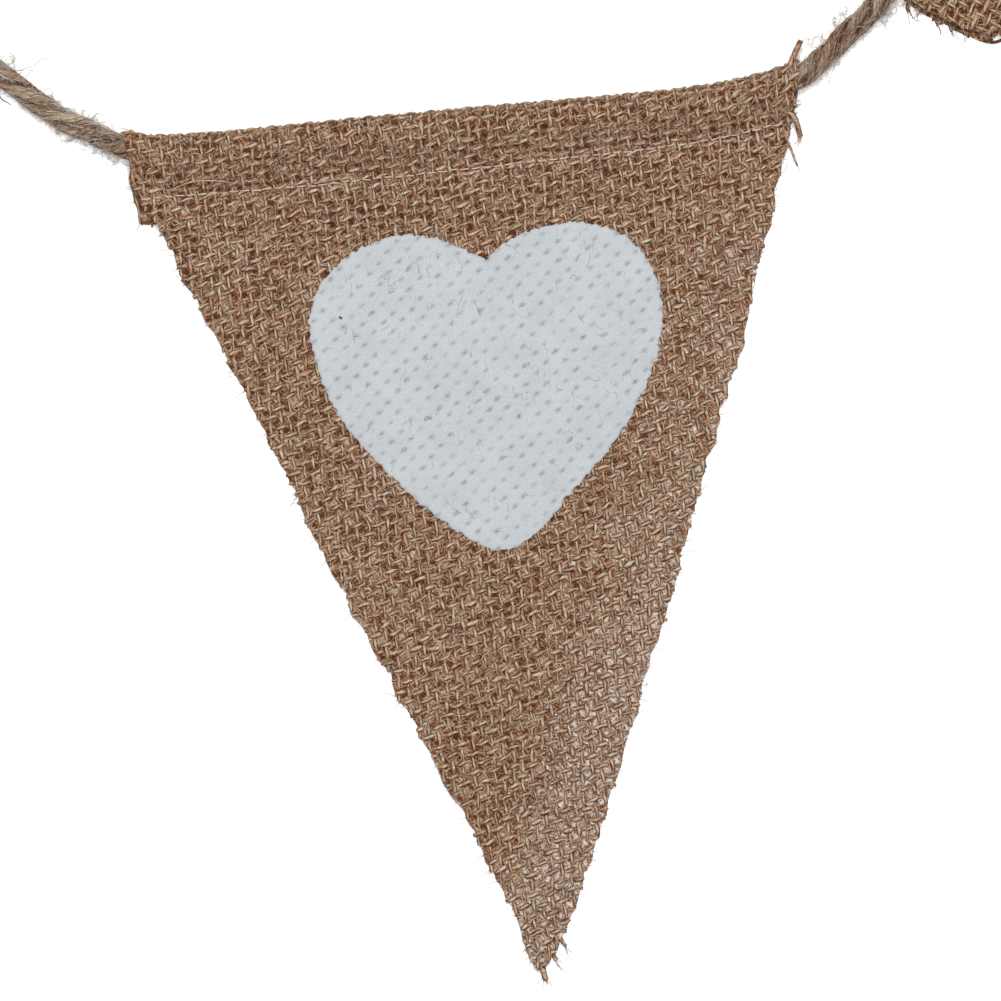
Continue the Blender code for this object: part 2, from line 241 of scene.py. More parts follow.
COIL_PITCH = 5.0
COIL_TURNS = 2.5
COIL_LIFT = 0.9
LEFT_COIL = (-254.3, 20.6)
RIGHT_COIL = (24.0, 173.0)
LEFT_COIL_START = 52.0
RIGHT_COIL_START = 86.0
LEFT_TIE_ANGLE = 200.0
RIGHT_TIE_ANGLE = 225.0
LEFT_KNOT_ANGLE = 235.0
RIGHT_KNOT_ANGLE = 262.0

# Weave: half widths and heights, crimp, and how its places shift and lean
YARN_PITCH = 2.2
WARP_WIDE = 0.44
WEFT_WIDE = 0.49
YARN_HIGH = 0.42
CRIMP = 0.30
WARP_TILT = 0.10
WEFT_TILT = 0.26
WARP_LEAN = -0.030
WEFT_LEAN = -0.023
WEAVE_MIDDLE = 74.0
WEAVE_SHIFT = 0.22
WIDEST_CLOTH = 160.0
YARN_STEP = 0.2
YARN_SLANT = 26.0
CLOTH_RAISE = 0.08
DOWN_RAISE = 0.12
DOWN_COLUMNS = 48
DOWN_ROW = 1.4
STRIP_ROWS = 12

# Twine: its strands, what is in the casings, and the end knots
STRAND_OUT = 0.26
STRAND_WIDE = 0.275
STRAND_HIGH = 0.265
STRAND_SLANT = 20.0
CASED_TWINE_HEIGHT = 4.2
KNOT_RING = 2.9
KNOT_WEAVE = 1.6
KNOT_TWINE = 3.8
KNOT_AWAY = 9.77
KNOT_HEIGHT = 3.4

# Sewing thread
STITCH_LENGTH = 2.45
STITCH_WIDE = 0.18
STITCH_HIGH = 0.16
THREAD_WIDE = 0.24

# Paint: its grid, where it lies, and the hollows of the weave in it
PAINT_STEP = 0.40
PAINT_OVER = 0.84
PAINT_ACROSS = (33.0, 116.0)
PAINT_DOWN = (26.5, 103.0)
PAINT_SKIRT = 0.35
HOLLOW_SLANT = 27.0
HOLLOW_LONG = 0.62
HOLLOW_SHORT = 0.33
HOLLOW_DEPTH = 0.26

# Camera in millimetres, surface and lights in metres and watts
CAMERA_HEIGHT = 2000.0
CAMERA_SENSOR = 36.0
FLOOR_HALF = 1.5
FLOOR_BELOW = 0.0001
KEY_POWER = 14.0
KEY_SIZE = 0.25
FILL_POWER = 20.5
FILL_SIZE = 0.6
WORLD_STRENGTH = 0.09

HEART_OUTLINE = (
    # across, down, from the notch round by the left lobe
    (75.4, 36.1),
    (69.0, 32.2),
    (61.5, 29.2),
    (54.0, 28.9),
    (45.5, 32.0),
    (38.6, 37.4),
    (35.2, 45.5),
    (35.9, 56.0),
    (40.0, 68.0),
    (48.0, 79.5),
    (56.5, 89.3),
    (66.5, 97.8),
    (73.0, 100.4),
    (80.5, 97.5),
    (91.0, 87.6),
    (101.5, 77.0),
    (109.0, 65.0),
    (113.0, 53.5),
    (112.6, 43.5),
    (107.5, 34.6),
    (98.5, 30.1),
    (89.0, 29.9),
    (81.0, 32.4),
    (75.4, 36.1),
)
BARE_FIBRES = (
    # pixels of the photograph, half width, tone
    (((339, 317), (341, 318), (342, 319)), 0.26, -6.0),
    (((424, 420), (426, 417), (430, 417), (431, 420)), 0.10, 0.5),
    (((425, 421), (428, 419), (432, 418)), 0.09, -0.5),
    (((576, 262), (578, 256), (582, 254)), 0.08, 1.0),
    (((570, 279), (573, 275), (577, 278)), 0.08, 1.0),
    (((586, 268), (589, 262), (590, 255)), 0.07, 1.0),
    (((449, 437), (451, 434), (454, 436)), 0.08, 1.0),
)
PAINT_CHIPS = (
    # across, down, reach, how deep
    (88.6, 91.6, 1.5, 3.0),
)
HEART_STITCHES = (
    # across, down
    (0.8, 15.0),
    (20.0, 15.5),
    (42.0, 15.9),
    (80.0, 15.5),
    (111.0, 15.1),
    (126.0, 14.3),
    (146.0, 12.9),
)
PLAIN_STITCHES = (
    # across, down
    (0.8, 15.2),
    (40.0, 15.8),
    (90.0, 15.4),
    (145.0, 14.6),
)
LEFT_TANGLES = (
    # pixel of the photograph, spread, hairs
    ((8, 62), 0.8, 10),
    ((44, 96), 0.7, 14),
    ((52, 103), 0.8, 16),
    ((62, 110), 0.8, 16),
    ((70, 115), 0.7, 12),
    ((85, 117), 0.6, 12),
    ((93, 121), 0.7, 16),
    ((101, 129), 0.6, 10),
    ((58, 131), 0.6, 12),
    ((68, 138), 0.7, 16),
    ((90, 144), 0.5, 8),
    ((104, 152), 0.7, 12),
    ((116, 159), 0.7, 12),
)
LEFT_STRAYS_AND_SHADE = (
    # pixels, half width, tone
    (((14, 71), (20, 71), (26, 69), (33, 67)), 0.09, -3.0),
    (((35, 66), (40, 61), (46, 59), (56, 63)), 0.07, -1.0),
    (((94, 118), (98, 114), (106, 116), (114, 118)), 0.07, -1.0),
    # A thick dark fibre along the left cord's lower edge, painted shade for the shadow line there.
    (((0, 97), (4, 101), (8, 103), (12, 106)), 0.16, -4.0),
    (((27, 78), (31, 72), (37, 70)), 0.06, 0.0),
)
RIGHT_TANGLES = (
    # pixel of the photograph, spread, hairs
    ((878, 14), 0.9, 22),
    ((885, 20), 1.0, 24),
    ((891, 12), 0.9, 16),
    ((843, 12), 0.8, 12),
    ((836, 22), 0.6, 10),
    ((815, 41), 0.7, 14),
    ((822, 64), 0.6, 8),
    ((834, 60), 0.6, 8),
)
LOOPS = (
    # pixels of the photograph, distances off the cloth's middle, half width, tone, seed
    (
        ((166, 195), (177, 186), (191, 179), (203, 177), (215, 177), (224, 179), (235, 184)),
        (0.5, 1.4, 2.0, 2.2, 2.1, 1.5, 0.5),
        0.21,
        9.0,
        3.0,
    ),
    (
        ((314, 184), (322, 182), (331, 179), (338, 178), (343, 181), (346, 188)),
        (0.6, 1.0, 1.3, 1.3, 1.0, 0.5),
        0.20,
        7.0,
        8.0,
    ),
)
HEART_FRAYS = (
    # pixels of the photograph, heights, half width, tone, single fibres
    (((786, 74), (790, 64), (795, 52), (800, 42)), (6.0, 6.4, 5.8, 4.8), 0.70, 1.5, 6),
    (((782, 88), (789, 89), (796, 88), (801, 86)), (6.0, 6.6, 6.2, 5.4), 0.40, 1.5, 4),
    (((782, 100), (790, 104), (796, 107)), (5.6, 5.4, 5.0), 0.40, -2.0, 4),
    (((780, 112), (787, 111), (795, 121), (800, 137)), (4.6, 5.0, 4.2, 2.4), 0.70, 0.0, 14),
    (((783, 132), (789, 145), (793, 155), (797, 165)), (2.9, 2.6, 1.6, 1.0), 0.26, 0.0, 5),
    (((130, 178), (136, 200), (139, 212), (140, 223)), (1.0, 1.0, 0.9, 0.7), 0.30, 1.0, 4),
    (((540, 938), (540, 952), (542, 966), (546, 980)), (1.6, 1.4, 1.1, 0.8), 0.75, 0.6, 10),
    (((533, 930), (530, 946), (531, 957)), (1.2, 1.1, 0.8), 0.55, -0.5, 10),
    (((549, 935), (551, 948), (556, 960)), (1.2, 1.1, 0.8), 0.55, 0.0, 10),
    (((556, 925), (560, 938), (566, 946)), (1.2, 1.0, 0.8), 0.45, -0.8, 6),
)
# Yarn ends along the plain pennant's lower edge and a yarn under that edge, with very low tones that
# are painted shade: the shadow along that edge.
PLAIN_SHADED_FRAYS = (
    # pixels of the photograph, heights, half width, tone, single fibres
    (((908, 4), (907, 8), (909, 12)), (1.0, 0.8, 0.6), 0.45, -14.0, 3),
    (((934, 17), (936, 21), (938, 26)), (1.0, 0.8, 0.6), 0.40, -14.0, 3),
    (((948, 22), (950, 27), (952, 32)), (1.0, 0.8, 0.6), 0.40, -14.0, 3),
    (((953, 26), (966, 30), (977, 35), (985, 41)), (0.5, 0.4, 0.4, 0.4), 0.38, -16.0, 3),
    (((982, 38), (989, 42), (996, 42), (1004, 39)), (0.4, 0.4, 0.4, 0.4), 0.40, -16.0, 3),
)


def smoothstep(x, low, high):
    """From 0 at low to 1 at high, level at both."""
    share = np.clip((x - low) / (high - low), 0.0, 1.0)
    return share * share * (3.0 - 2.0 * share)


def unit(vectors):
    """The same directions at length one."""
    return vectors / np.maximum(np.linalg.norm(vectors, axis=-1, keepdims=True), 1e-9)


def smooth_curve(points, steps):
    """Points of the smooth curve through a route's own points, with steps between two of them."""
    p = np.asarray(points, float)
    ends = np.vstack([p[:1], p, p[-1:]])
    share = np.linspace(0.0, 1.0, steps, endpoint=False)[:, None]
    parts = []
    for before, start, end, after in zip(ends, ends[1:], ends[2:], ends[3:]):
        parts.append(
            0.5
            * (
                2.0 * start
                + (end - before) * share
                + (2.0 * before - 5.0 * start + 4.0 * end - after) * share**2
                + (3.0 * start - before - 3.0 * end + after) * share**3
            )
        )
    return np.vstack(parts + [p[-1:]])


def along(points):
    """The way along a line of points."""
    steps = np.linalg.norm(np.diff(points, axis=0), axis=1)
    return np.concatenate([[0.0], np.cumsum(steps)])


def resample(points, step):
    """The same line with its points an even step apart."""
    way = along(points)
    count = max(int(np.ceil(way[-1] / step)), 2)
    at = np.linspace(0.0, way[-1], count + 1)
    return np.column_stack([np.interp(at, way, points[:, i]) for i in range(points.shape[1])])


def around(path):
    """The way along a path, and the directions ahead, beside it and over it."""
    ahead = unit(np.gradient(path, axis=0))
    side = unit(np.cross(ahead, (0.0, 0.0, 1.0)))
    return along(path), ahead, side, np.cross(side, ahead)


def wander(rng, x, wave):
    """Smooth random values along x, about one apart, that change over a wave."""
    start = x.min() - wave
    knots = rng.standard_normal(int((x.max() - start) / wave) + 3)
    place = (x - start) / wave
    index = place.astype(int)
    share = place - index
    share = share * share * (3.0 - 2.0 * share)
    return knots[index] * (1.0 - share) + knots[index + 1] * share


def drift(rng, waves):
    """A smooth random field over the cloth, as a function of across and way."""
    turns = rng.uniform(0.0, 2 * np.pi, len(waves))
    phases = rng.uniform(0.0, 2 * np.pi, len(waves))
    scale = np.sqrt(2.0 / len(waves))

    def field(across, way):
        total = 0.0
        for wave, turn, phase in zip(waves, turns, phases):
            place = (across * np.cos(turn) + way * np.sin(turn)) / wave
            total = total + np.sin(2 * np.pi * place + phase)
        return total * scale

    return field


class Batch:
    """Tubes that become one mesh, with their own maps and shades."""

    def __init__(self):
        self.points = []
        self.faces = []
        self.map = []
        self.strips = []
        self.tone = []
        self.seed = []
        self.count = 0

    def tube(self, path, normals, wide, high, sides, tone, seed, start=0.0):
        """A tube about a path, half as wide and half as high as given, closed at both ends."""
        path = np.asarray(path, float)
        number = len(path)
        direction = unit(np.gradient(path, axis=0))
        side = unit(np.cross(direction, normals))
        over = np.cross(side, direction)
        angle = -np.pi / 2 + 2 * np.pi * np.arange(sides) / sides
        wide = np.broadcast_to(wide, number)[:, None, None]
        high = np.broadcast_to(high, number)[:, None, None]
        ring = (
            path[:, None]
            + side[:, None] * wide * np.cos(angle)[None, :, None]
            + over[:, None] * high * np.sin(angle)[None, :, None]
        )
        index = self.count + np.arange(number * sides).reshape(number, sides)
        here, there = index[:-1], index[1:]
        quads = np.stack(
            [here, there, np.roll(there, -1, axis=1), np.roll(here, -1, axis=1)], axis=-1
        )
        way = along(path)
        turn = np.arange(sides)[None, :] / sides
        turn, low, high_way = np.broadcast_arrays(turn, way[:-1, None], way[1:, None])
        after = turn + 1.0 / sides
        corners = np.stack(
            [
                np.stack([low, turn], -1),
                np.stack([high_way, turn], -1),
                np.stack([high_way, after], -1),
                np.stack([low, after], -1),
            ],
            axis=-2,
        ).reshape(-1, 2)
        self.points.append(ring.reshape(-1, 3))
        self.faces += quads.reshape(-1, 4).tolist()
        caps = []
        for cap, place in ((index[0], way[0]), (index[-1][::-1], way[-1])):
            self.faces.append(cap.tolist())
            caps.append(np.column_stack([np.full(sides, place), np.arange(sides) / sides]))
        corners = np.vstack([corners] + caps)
        girth = np.pi * float(wide.mean() + high.mean())
        self.map.append(corners + (start, 0.0))
        self.strips.append((corners * (1.0, girth), way[-1], girth))
        self.tone.append(np.repeat(np.broadcast_to(tone, number), sides))
        self.seed.append(np.full(number * sides, seed))
        self.count += number * sides

    def fibre(self, path, half_width, sides, tone, seed):
        """A fine round fibre along a path."""
        self.tube(path, UPRIGHT, half_width, half_width, sides, tone, seed)

    def packed(self):
        """A flat layout of all the tubes, side by side in rows, with room between them."""
        room = 0.4
        total = sum((length + room) * (girth + room) for _, length, girth in self.strips)
        width = max(max(length for _, length, _ in self.strips), np.sqrt(total)) + room
        laid = []
        x, y, row = 0.0, 0.0, 0.0
        for corners, length, girth in self.strips:
            if x + length > width:
                x, y, row = 0.0, y + row, 0.0
            laid.append(corners + (x, y))
            x += length + room
            row = max(row, girth + room)
        return (np.vstack(laid) + 0.5 * room) / (max(width, y + row) + room)

    def finish(self, name, material):
        return new_piece(
            name,
            np.vstack(self.points),
            self.faces,
            material,
            {"yarn": np.vstack(self.map), "OFBake": self.packed()},
            {"tone": np.concatenate(self.tone), "seed": np.concatenate(self.seed)},
        )


def new_piece(name, points, faces, material, maps=None, values=None):
    """A smooth mesh from points in millimetres, riding on the part's only body."""
    mesh = bpy.data.meshes.new(name)
    rested = np.column_stack([points[:, :2], np.maximum(points[:, 2], LOWEST)])
    mesh.from_pydata((rested * MM).tolist(), [], faces)
    mesh.shade_smooth()
    for key, corners in (maps or {}).items():
        layer = mesh.uv_layers.new(name=key)
        layer.data.foreach_set("uv", corners.astype(np.float32).ravel())
    for key, numbers in (values or {}).items():
        attribute = mesh.attributes.new(key, "FLOAT", "POINT")
        attribute.data.foreach_set("value", numbers.astype(np.float32))
    mesh.materials.append(material)
    piece = bpy.data.objects.new(name, mesh)
    bpy.context.scene.collection.objects.link(piece)
    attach(piece, "root")
    return piece


class Cloth:
    """The folded sheet of a pennant: where each place of the flat cloth lies."""

    def __init__(self, corner, turn, front, flap, twine, lifts, seed, trim=((0.0, 0.0, 0.0),)):
        self.corner = corner
        self.trim = np.array(trim)
        ragged_rng = np.random.default_rng(seed + 1)
        self.ragged = [drift(ragged_rng, RAGGED_WAVES) for _ in range(2)]
        self.turn = np.radians(turn)
        self.front = np.array(front)
        self.flap = np.array(flap)
        self.flap_depth = flap[-1][0]
        self.lifts = lifts
        self.rng = np.random.default_rng(seed)
        line = smooth_curve(twine, 12)
        self.twine_across, self.twine_down = line[:, 0], line[:, 1]
        self.shift_across = drift(self.rng, (11.0, 17.0, 29.0, 47.0))
        self.shift_way = drift(self.rng, (9.0, 16.0, 27.0, 43.0))
        self.patch = drift(self.rng, (14.0, 23.0, 38.0, 61.0))
        self.section()

    def section(self):
        """The section across the casing: down, height and how far each place follows the twine."""
        depth = self.flap_depth
        flap_down = np.linspace(depth, STRIP_FLAT_TO, STRIP_ROWS)
        strip = np.column_stack([flap_down, np.full(STRIP_ROWS, FLAP_MIDDLE), 0.0 * flap_down])
        angles = np.radians(np.arange(-90.0, FOLD_END_ANGLE - 1.0, -5.0))
        fold = np.column_stack(
            [
                USUAL_TWINE_DOWN + FOLD_RADIUS * np.cos(angles),
                CASING_HEIGHT + FOLD_RADIUS * np.sin(angles),
                np.ones(len(angles)),
            ]
        )
        descent = smooth_curve(
            (
                fold[-1],
                (12.2, 4.5, 0.5),
                (14.3, 3.0, 0.4),
                (STITCH_DOWN + 0.6, FRONT_OVER_FLAP, 0.0),
                (depth - 1.0, FRONT_OVER_FLAP, 0.0),
                (depth + 0.6, FRONT_OVER_FLAP - 0.05, 0.0),
                (depth + 2.8, 1.6, 0.0),
                (depth + 5.4, 0.85, 0.0),
                (depth + 8.0, FLAP_MIDDLE, 0.0),
                (depth + 12.0, FLAP_MIDDLE, 0.0),
            ),
            8,
        )
        beyond = [(depth + 4.0, FLAP_MIDDLE, 0.0)]
        rows = np.vstack([beyond, strip, fold, descent[1:], [(260.0, FLAP_MIDDLE, 0.0)]])
        way = along(rows[:, :2])
        at_fold = 1 + len(strip) + np.argmin(np.abs(angles + np.pi))
        self.way = way - way[at_fold]
        self.down = rows[:, 0]
        self.height = rows[:, 1]
        self.follow = rows[:, 2]
        self.flap_end = self.way[1]
        self.tip = self.way_of(self.front[-1, 0])

    def down_at(self, way):
        return np.interp(way, self.way, self.down)

    def way_of(self, down):
        """The way along the front of a place that far down."""
        front = self.way > 0.0
        return np.interp(down, self.down[front], self.way[front])

    def way_back(self, down):
        """The way along the folded strip of a place that far down."""
        strip = slice(STRIP_ROWS, 0, -1)
        return np.interp(down, self.down[strip], self.way[strip])

    def edges(self, way):
        """Left and right cut edges at a way along the cloth."""
        down = self.down_at(way)
        below = smoothstep(down, RAGGED_FROM, RAGGED_FROM + 4.0)
        edges = []
        for side, ragged in zip((1, 2), self.ragged):
            off = np.interp(down, self.trim[:, 0], self.trim[:, side])
            off = off + RAGGED * below * ragged(0.0, down)
            front = np.interp(down, self.front[:, 0], self.front[:, side]) + off
            flap = np.interp(down, self.flap[:, 0], self.flap[:, side])
            edges.append(np.where(way > 0.0, front, flap))
        return edges

    def flat(self):
        """The flat cloth's width, length and area, in metres."""
        way = np.linspace(self.flap_end, self.tip, 400)
        left, right = self.edges(way)
        widths = right - left
        area = float(np.sum((widths[1:] + widths[:-1]) * np.diff(way)) / 2)
        return float(widths.max()) * MM, float(way[-1] - way[0]) * MM, area * MM * MM

    def lift(self, across, down):
        total = 0.0
        for place_across, place_down, height, reach in self.lifts:
            away = np.hypot(across - place_across, down - place_down) / reach
            total = total + height * np.maximum(np.exp(-away * away) - LIFT_CUT, 0.0)
        return total / (1.0 - LIFT_CUT)

    def place(self, across, way, off=0.0):
        """Points and outward directions in the frame, off the cloth's middle by some distance."""
        across, way = np.broadcast_arrays(np.asarray(across, float), np.asarray(way, float))
        follow = np.interp(way, self.way, self.follow)
        sag = np.interp(across, self.twine_across, self.twine_down) - USUAL_TWINE_DOWN
        down = self.down_at(way) + follow * sag
        height = np.interp(way, self.way, self.height)
        near = 0.25
        inner = np.clip(way, self.way[0] + near, self.way[-1] - near)
        step_down = self.down_at(inner + near) - self.down_at(inner - near)
        step_up = np.interp(inner + near, self.way, self.height)
        step_up = step_up - np.interp(inner - near, self.way, self.height)
        size = np.hypot(step_down, step_up)
        out_down = -step_up / size
        out_up = step_down / size
        raised = np.where(way > 0.0, self.lift(across, down), 0.0)
        down = down + off * out_down
        height = height + off * out_up + raised
        points = self.world(across, down, height)
        normals = self.turned(np.zeros_like(down), out_down, out_up)
        return points, normals

    def world(self, across, down, height):
        return self.turned(across, down, height) + (*self.corner, 0.0)

    def turned(self, across, down, up):
        c, s = np.cos(self.turn), np.sin(self.turn)
        across, down, up = np.broadcast_arrays(across, down, up)
        return np.stack([across * c + down * s, across * s - down * c, up], axis=-1)


def cells(across, way):
    """Where a place lies in the weave, in columns of warp and rows of weft."""
    column = (across - WARP_LEAN * way) / YARN_PITCH
    row = (way - WEFT_LEAN * (across - WEAVE_MIDDLE)) / YARN_PITCH
    return column, row


def crimped(turns):
    """The wave of a yarn over and under its neighbours, a little flatter than a sine."""
    wave = np.cos(np.pi * turns)
    return np.sign(wave) * np.abs(wave) ** 0.75


def runs(inside):
    """Start and end of each run of true values."""
    edges = np.flatnonzero(np.diff(np.concatenate([[0], inside.astype(int), [0]])))
    return zip(edges[::2], edges[1::2])


def weave(cloth, name, sides, step, flatten, thin, covered):
    """The warp and weft of a pennant as two pieces of joined yarns."""
    rng = cloth.rng
    material = yarn_material()
    pieces = []
    for family in ("warp", "weft"):
        warp = family == "warp"
        batch = Batch()
        if warp:
            numbers = range(-3, int(WIDEST_CLOTH / YARN_PITCH))
            fine = np.arange(cloth.flap_end, cloth.tip + 2.0, YARN_STEP)
        else:
            numbers = range(
                int(cloth.flap_end / YARN_PITCH) + 1, int(cloth.tip / YARN_PITCH) + 1
            )
            fine = np.arange(-4.0, 154.0, YARN_STEP)
        for number in numbers:
            own = 0.13 * wander(rng, fine, 13.0) + 0.08 * wander(rng, fine, 1.6)
            if warp:
                across = number * YARN_PITCH + WARP_LEAN * fine + own
                way = fine
            else:
                across = fine
                way = number * YARN_PITCH + WEFT_LEAN * (fine - WEAVE_MIDDLE) + own
            left, right = cloth.edges(way)
            inside = (across > left) & (across < right)
            inside &= (way > cloth.flap_end) & (way < cloth.tip)
            slub = 0.13 * wander(rng, fine, 4.0) + 0.10 * wander(rng, fine, 24.0)
            slub = slub + 0.13 * wander(rng, fine, 1.3)
            tone = 0.5 * rng.standard_normal() + 0.5 * wander(rng, fine, 5.0)
            tone = tone + 1.0 * wander(rng, fine, 2.2)
            seed = rng.uniform(0.0, 100.0)
            for first, last in runs(inside):
                if last - first < 8:
                    continue
                start = fine[first] - rng.uniform(-0.4, 0.5)
                end = fine[last - 1] + rng.uniform(-0.4, 0.5)
                count = max(int((end - start) / step), 3)
                at = np.linspace(start, end, count + 1)
                a = np.interp(at, fine, across) if warp else at
                w = at if warp else np.interp(at, fine, way)
                hidden = covered(a, w) & (np.arange(count + 1) % 2 == 1)
                hidden[[0, -1]] = False
                at, a, w = at[~hidden], a[~hidden], w[~hidden]
                column, row = cells(a, w)
                turns = row + number if warp else column + number
                wave = crimped(turns) if warp else -crimped(turns)
                lean = -np.sin(np.pi * turns)
                lean_across = WARP_TILT * lean if warp else 0.0
                lean_way = 0.0 if warp else WEFT_TILT * lean
                thick = 1.0 + np.interp(at, fine, slub) - thin(a, w)
                flat = flatten(a, w)
                points, normals = cloth.place(
                    a + WEAVE_SHIFT * cloth.shift_across(a, w) + lean_across,
                    w + WEAVE_SHIFT * cloth.shift_way(a, w) + lean_way,
                    CLOTH_RAISE - CRIMP * wave * flat,
                )
                ends = np.minimum(at - at[0], at[-1] - at)
                taper = 0.62 + 0.38 * smoothstep(ends, 0.0, 0.9)
                # The tone is random per yarn and patch, plus painted shade: each yarn gets darker
                # where its crimp takes it under its neighbours.
                batch.tube(
                    points,
                    normals,
                    (WARP_WIDE if warp else WEFT_WIDE) * thick * taper * (1.0 - 0.08 * wave),
                    YARN_HIGH * flat * taper * (1.0 + 0.5 * (thick - 1.0)),
                    sides,
                    np.interp(at, fine, tone) + 0.6 * cloth.patch(a, w) - 7.0 * wave,
                    seed,
                    rng.uniform(0.0, 50.0),
                )
        pieces.append(batch.finish(name + "_" + family, material))
    return pieces


def down(cloth, name, material, openness):
    """The fine down of the yarns, which fills the openings of the weave, as one thin sheet."""
    rng = cloth.rng
    rows = int((cloth.tip - cloth.flap_end) / DOWN_ROW)
    way = np.linspace(cloth.flap_end + 0.3, cloth.tip - 0.6, rows)
    left, right = cloth.edges(way)
    left = left + 0.05 + 0.25 * wander(rng, way, 3.0)
    right = right - 0.05 + 0.25 * wander(rng, way, 3.0)
    share = np.linspace(0.0, 1.0, DOWN_COLUMNS + 1)
    across = left[:, None] + (right - left)[:, None] * share
    way = np.repeat(way[:, None], DOWN_COLUMNS + 1, axis=1)
    a = across + WEAVE_SHIFT * cloth.shift_across(across, way)
    w = way + WEAVE_SHIFT * cloth.shift_way(across, way)
    points, _ = cloth.place(a, w, DOWN_RAISE)
    number = np.arange(across.size).reshape(across.shape)
    faces = np.stack(
        [number[:-1, :-1], number[1:, :-1], number[1:, 1:], number[:-1, 1:]], axis=-1
    ).reshape(-1, 4)
    column, row = cells(across, way)
    weave_place = np.stack([column, row], axis=-1).reshape(-1, 2)[faces].reshape(-1, 2)
    flat_place = np.stack([across + 5.0, way - cloth.flap_end + 1.0], axis=-1).reshape(-1, 2)
    flat_place = flat_place[faces].reshape(-1, 2) / 240.0
    # The openness, carried as tone, sets the painted light in the openings and the painted shade of
    # the pits.
    return new_piece(
        name,
        points.reshape(-1, 3),
        faces.tolist(),
        material,
        {"weave": weave_place, "OFBake": flat_place},
        {"tone": openness(across, way).ravel()},
    )


def nodes_of(name):
    """A new material, its tree, its shader and a maker of linked nodes."""
    material = bpy.data.materials.new(name)
    material.use_nodes = True
    tree = material.node_tree
    shader = tree.nodes["Principled BSDF"]

    def node(kind, *sockets, **settings):
        made = tree.nodes.new(kind)
        for key, value in settings.items():
            setattr(made, key, value)
        for socket, value in zip(made.inputs, sockets):
            if value is None:
                continue
            if hasattr(value, "is_output"):
                tree.links.new(value, socket)
            else:
                socket.default_value = value
        return made

    return material, tree, shader, node


def attribute(node, name):
    """A value that the mesh carries at its points."""
    return node("ShaderNodeAttribute", attribute_name=name).outputs["Fac"]


def maths(node, operation, first, second=0.0, third=0.0):
    """The result of one sum on values or sockets."""
    made = node("ShaderNodeMath", first, second, third, operation=operation)
    return made.outputs["Value"]


def scaled(node, value, factor, offset):
    """A value times a factor, plus an offset."""
    return maths(node, "MULTIPLY_ADD", value, factor, offset)


def clipped(node, value):
    """A value kept from 0 to 1."""
    return maths(node, "MINIMUM", maths(node, "MAXIMUM", value), 1.0)


def ramp(node, factor, stops):
    """A colour ramp through (place, colour) stops."""
    made = node("ShaderNodeValToRGB", factor)
    elements = made.color_ramp.elements
    while len(elements) < len(stops):
        elements.new(0.5)
    for element, (place, colour) in zip(elements, stops):
        element.position = place
        element.color = (*colour, 1.0)
    return made.outputs["Color"]


def mixed(node, factor, first, second):
    """One colour turning into another as the factor goes from 0 to 1."""
    made = node("ShaderNodeMix", data_type="RGBA")
    tree = made.id_data
    tree.links.new(factor, made.inputs["Factor"])
    for socket, value in ((made.inputs[6], first), (made.inputs[7], second)):
        if hasattr(value, "is_output"):
            tree.links.new(value, socket)
        else:
            socket.default_value = (*value, 1.0)
    return made.outputs[2]


def noise(node, place, scale, detail=2.0, roughness=0.5):
    """Smooth noise at a place."""
    made = node("ShaderNodeTexNoise")
    made.inputs["Scale"].default_value = scale
    made.inputs["Detail"].default_value = detail
    made.inputs["Roughness"].default_value = roughness
    made.id_data.links.new(place, made.inputs["Vector"])
    return made.outputs["Fac"]


def grain(node, scale):
    """Fine noise that runs on over all the yarns, with features a metre over the scale wide."""
    return noise(node, node("ShaderNodeTexCoord").outputs["Object"], scale, 2.0, 0.6)


def bump(node, tree, shader, height, strength, distance):
    """Relief in a shader's surface."""
    made = node("ShaderNodeBump")
    made.inputs["Strength"].default_value = strength
    made.inputs["Distance"].default_value = distance
    tree.links.new(height, made.inputs["Height"])
    tree.links.new(made.outputs["Normal"], shader.inputs["Normal"])


def finish_shader(shader, roughness, specular):
    """How dull and how shiny a material is."""
    shader.inputs["Roughness"].default_value = roughness
    shader.inputs["Specular IOR Level"].default_value = specular


def yarn_place(node, girth, slant, across_scale, along_scale):
    """A place on the fibres that run round a yarn at a slant, and how far up its side it is."""
    mapped = node("ShaderNodeUVMap", uv_map="yarn").outputs["UV"]
    split = node("ShaderNodeSeparateXYZ", mapped)
    way = split.outputs["X"]
    turn = maths(node, "MULTIPLY", split.outputs["Y"], girth)
    cosine, sine = float(np.cos(slant)), float(np.sin(slant))
    across = scaled(node, way, -sine, maths(node, "MULTIPLY", turn, cosine))
    length = scaled(node, way, cosine, maths(node, "MULTIPLY", turn, sine))
    place = node(
        "ShaderNodeCombineXYZ",
        maths(node, "MULTIPLY", across, across_scale),
        maths(node, "MULTIPLY", length, along_scale),
        attribute(node, "seed"),
    )
    angle = maths(node, "MULTIPLY", split.outputs["Y"], 2 * np.pi)
    upness = maths(node, "MULTIPLY", maths(node, "COSINE", angle), -1.0)
    return place.outputs["Vector"], upness


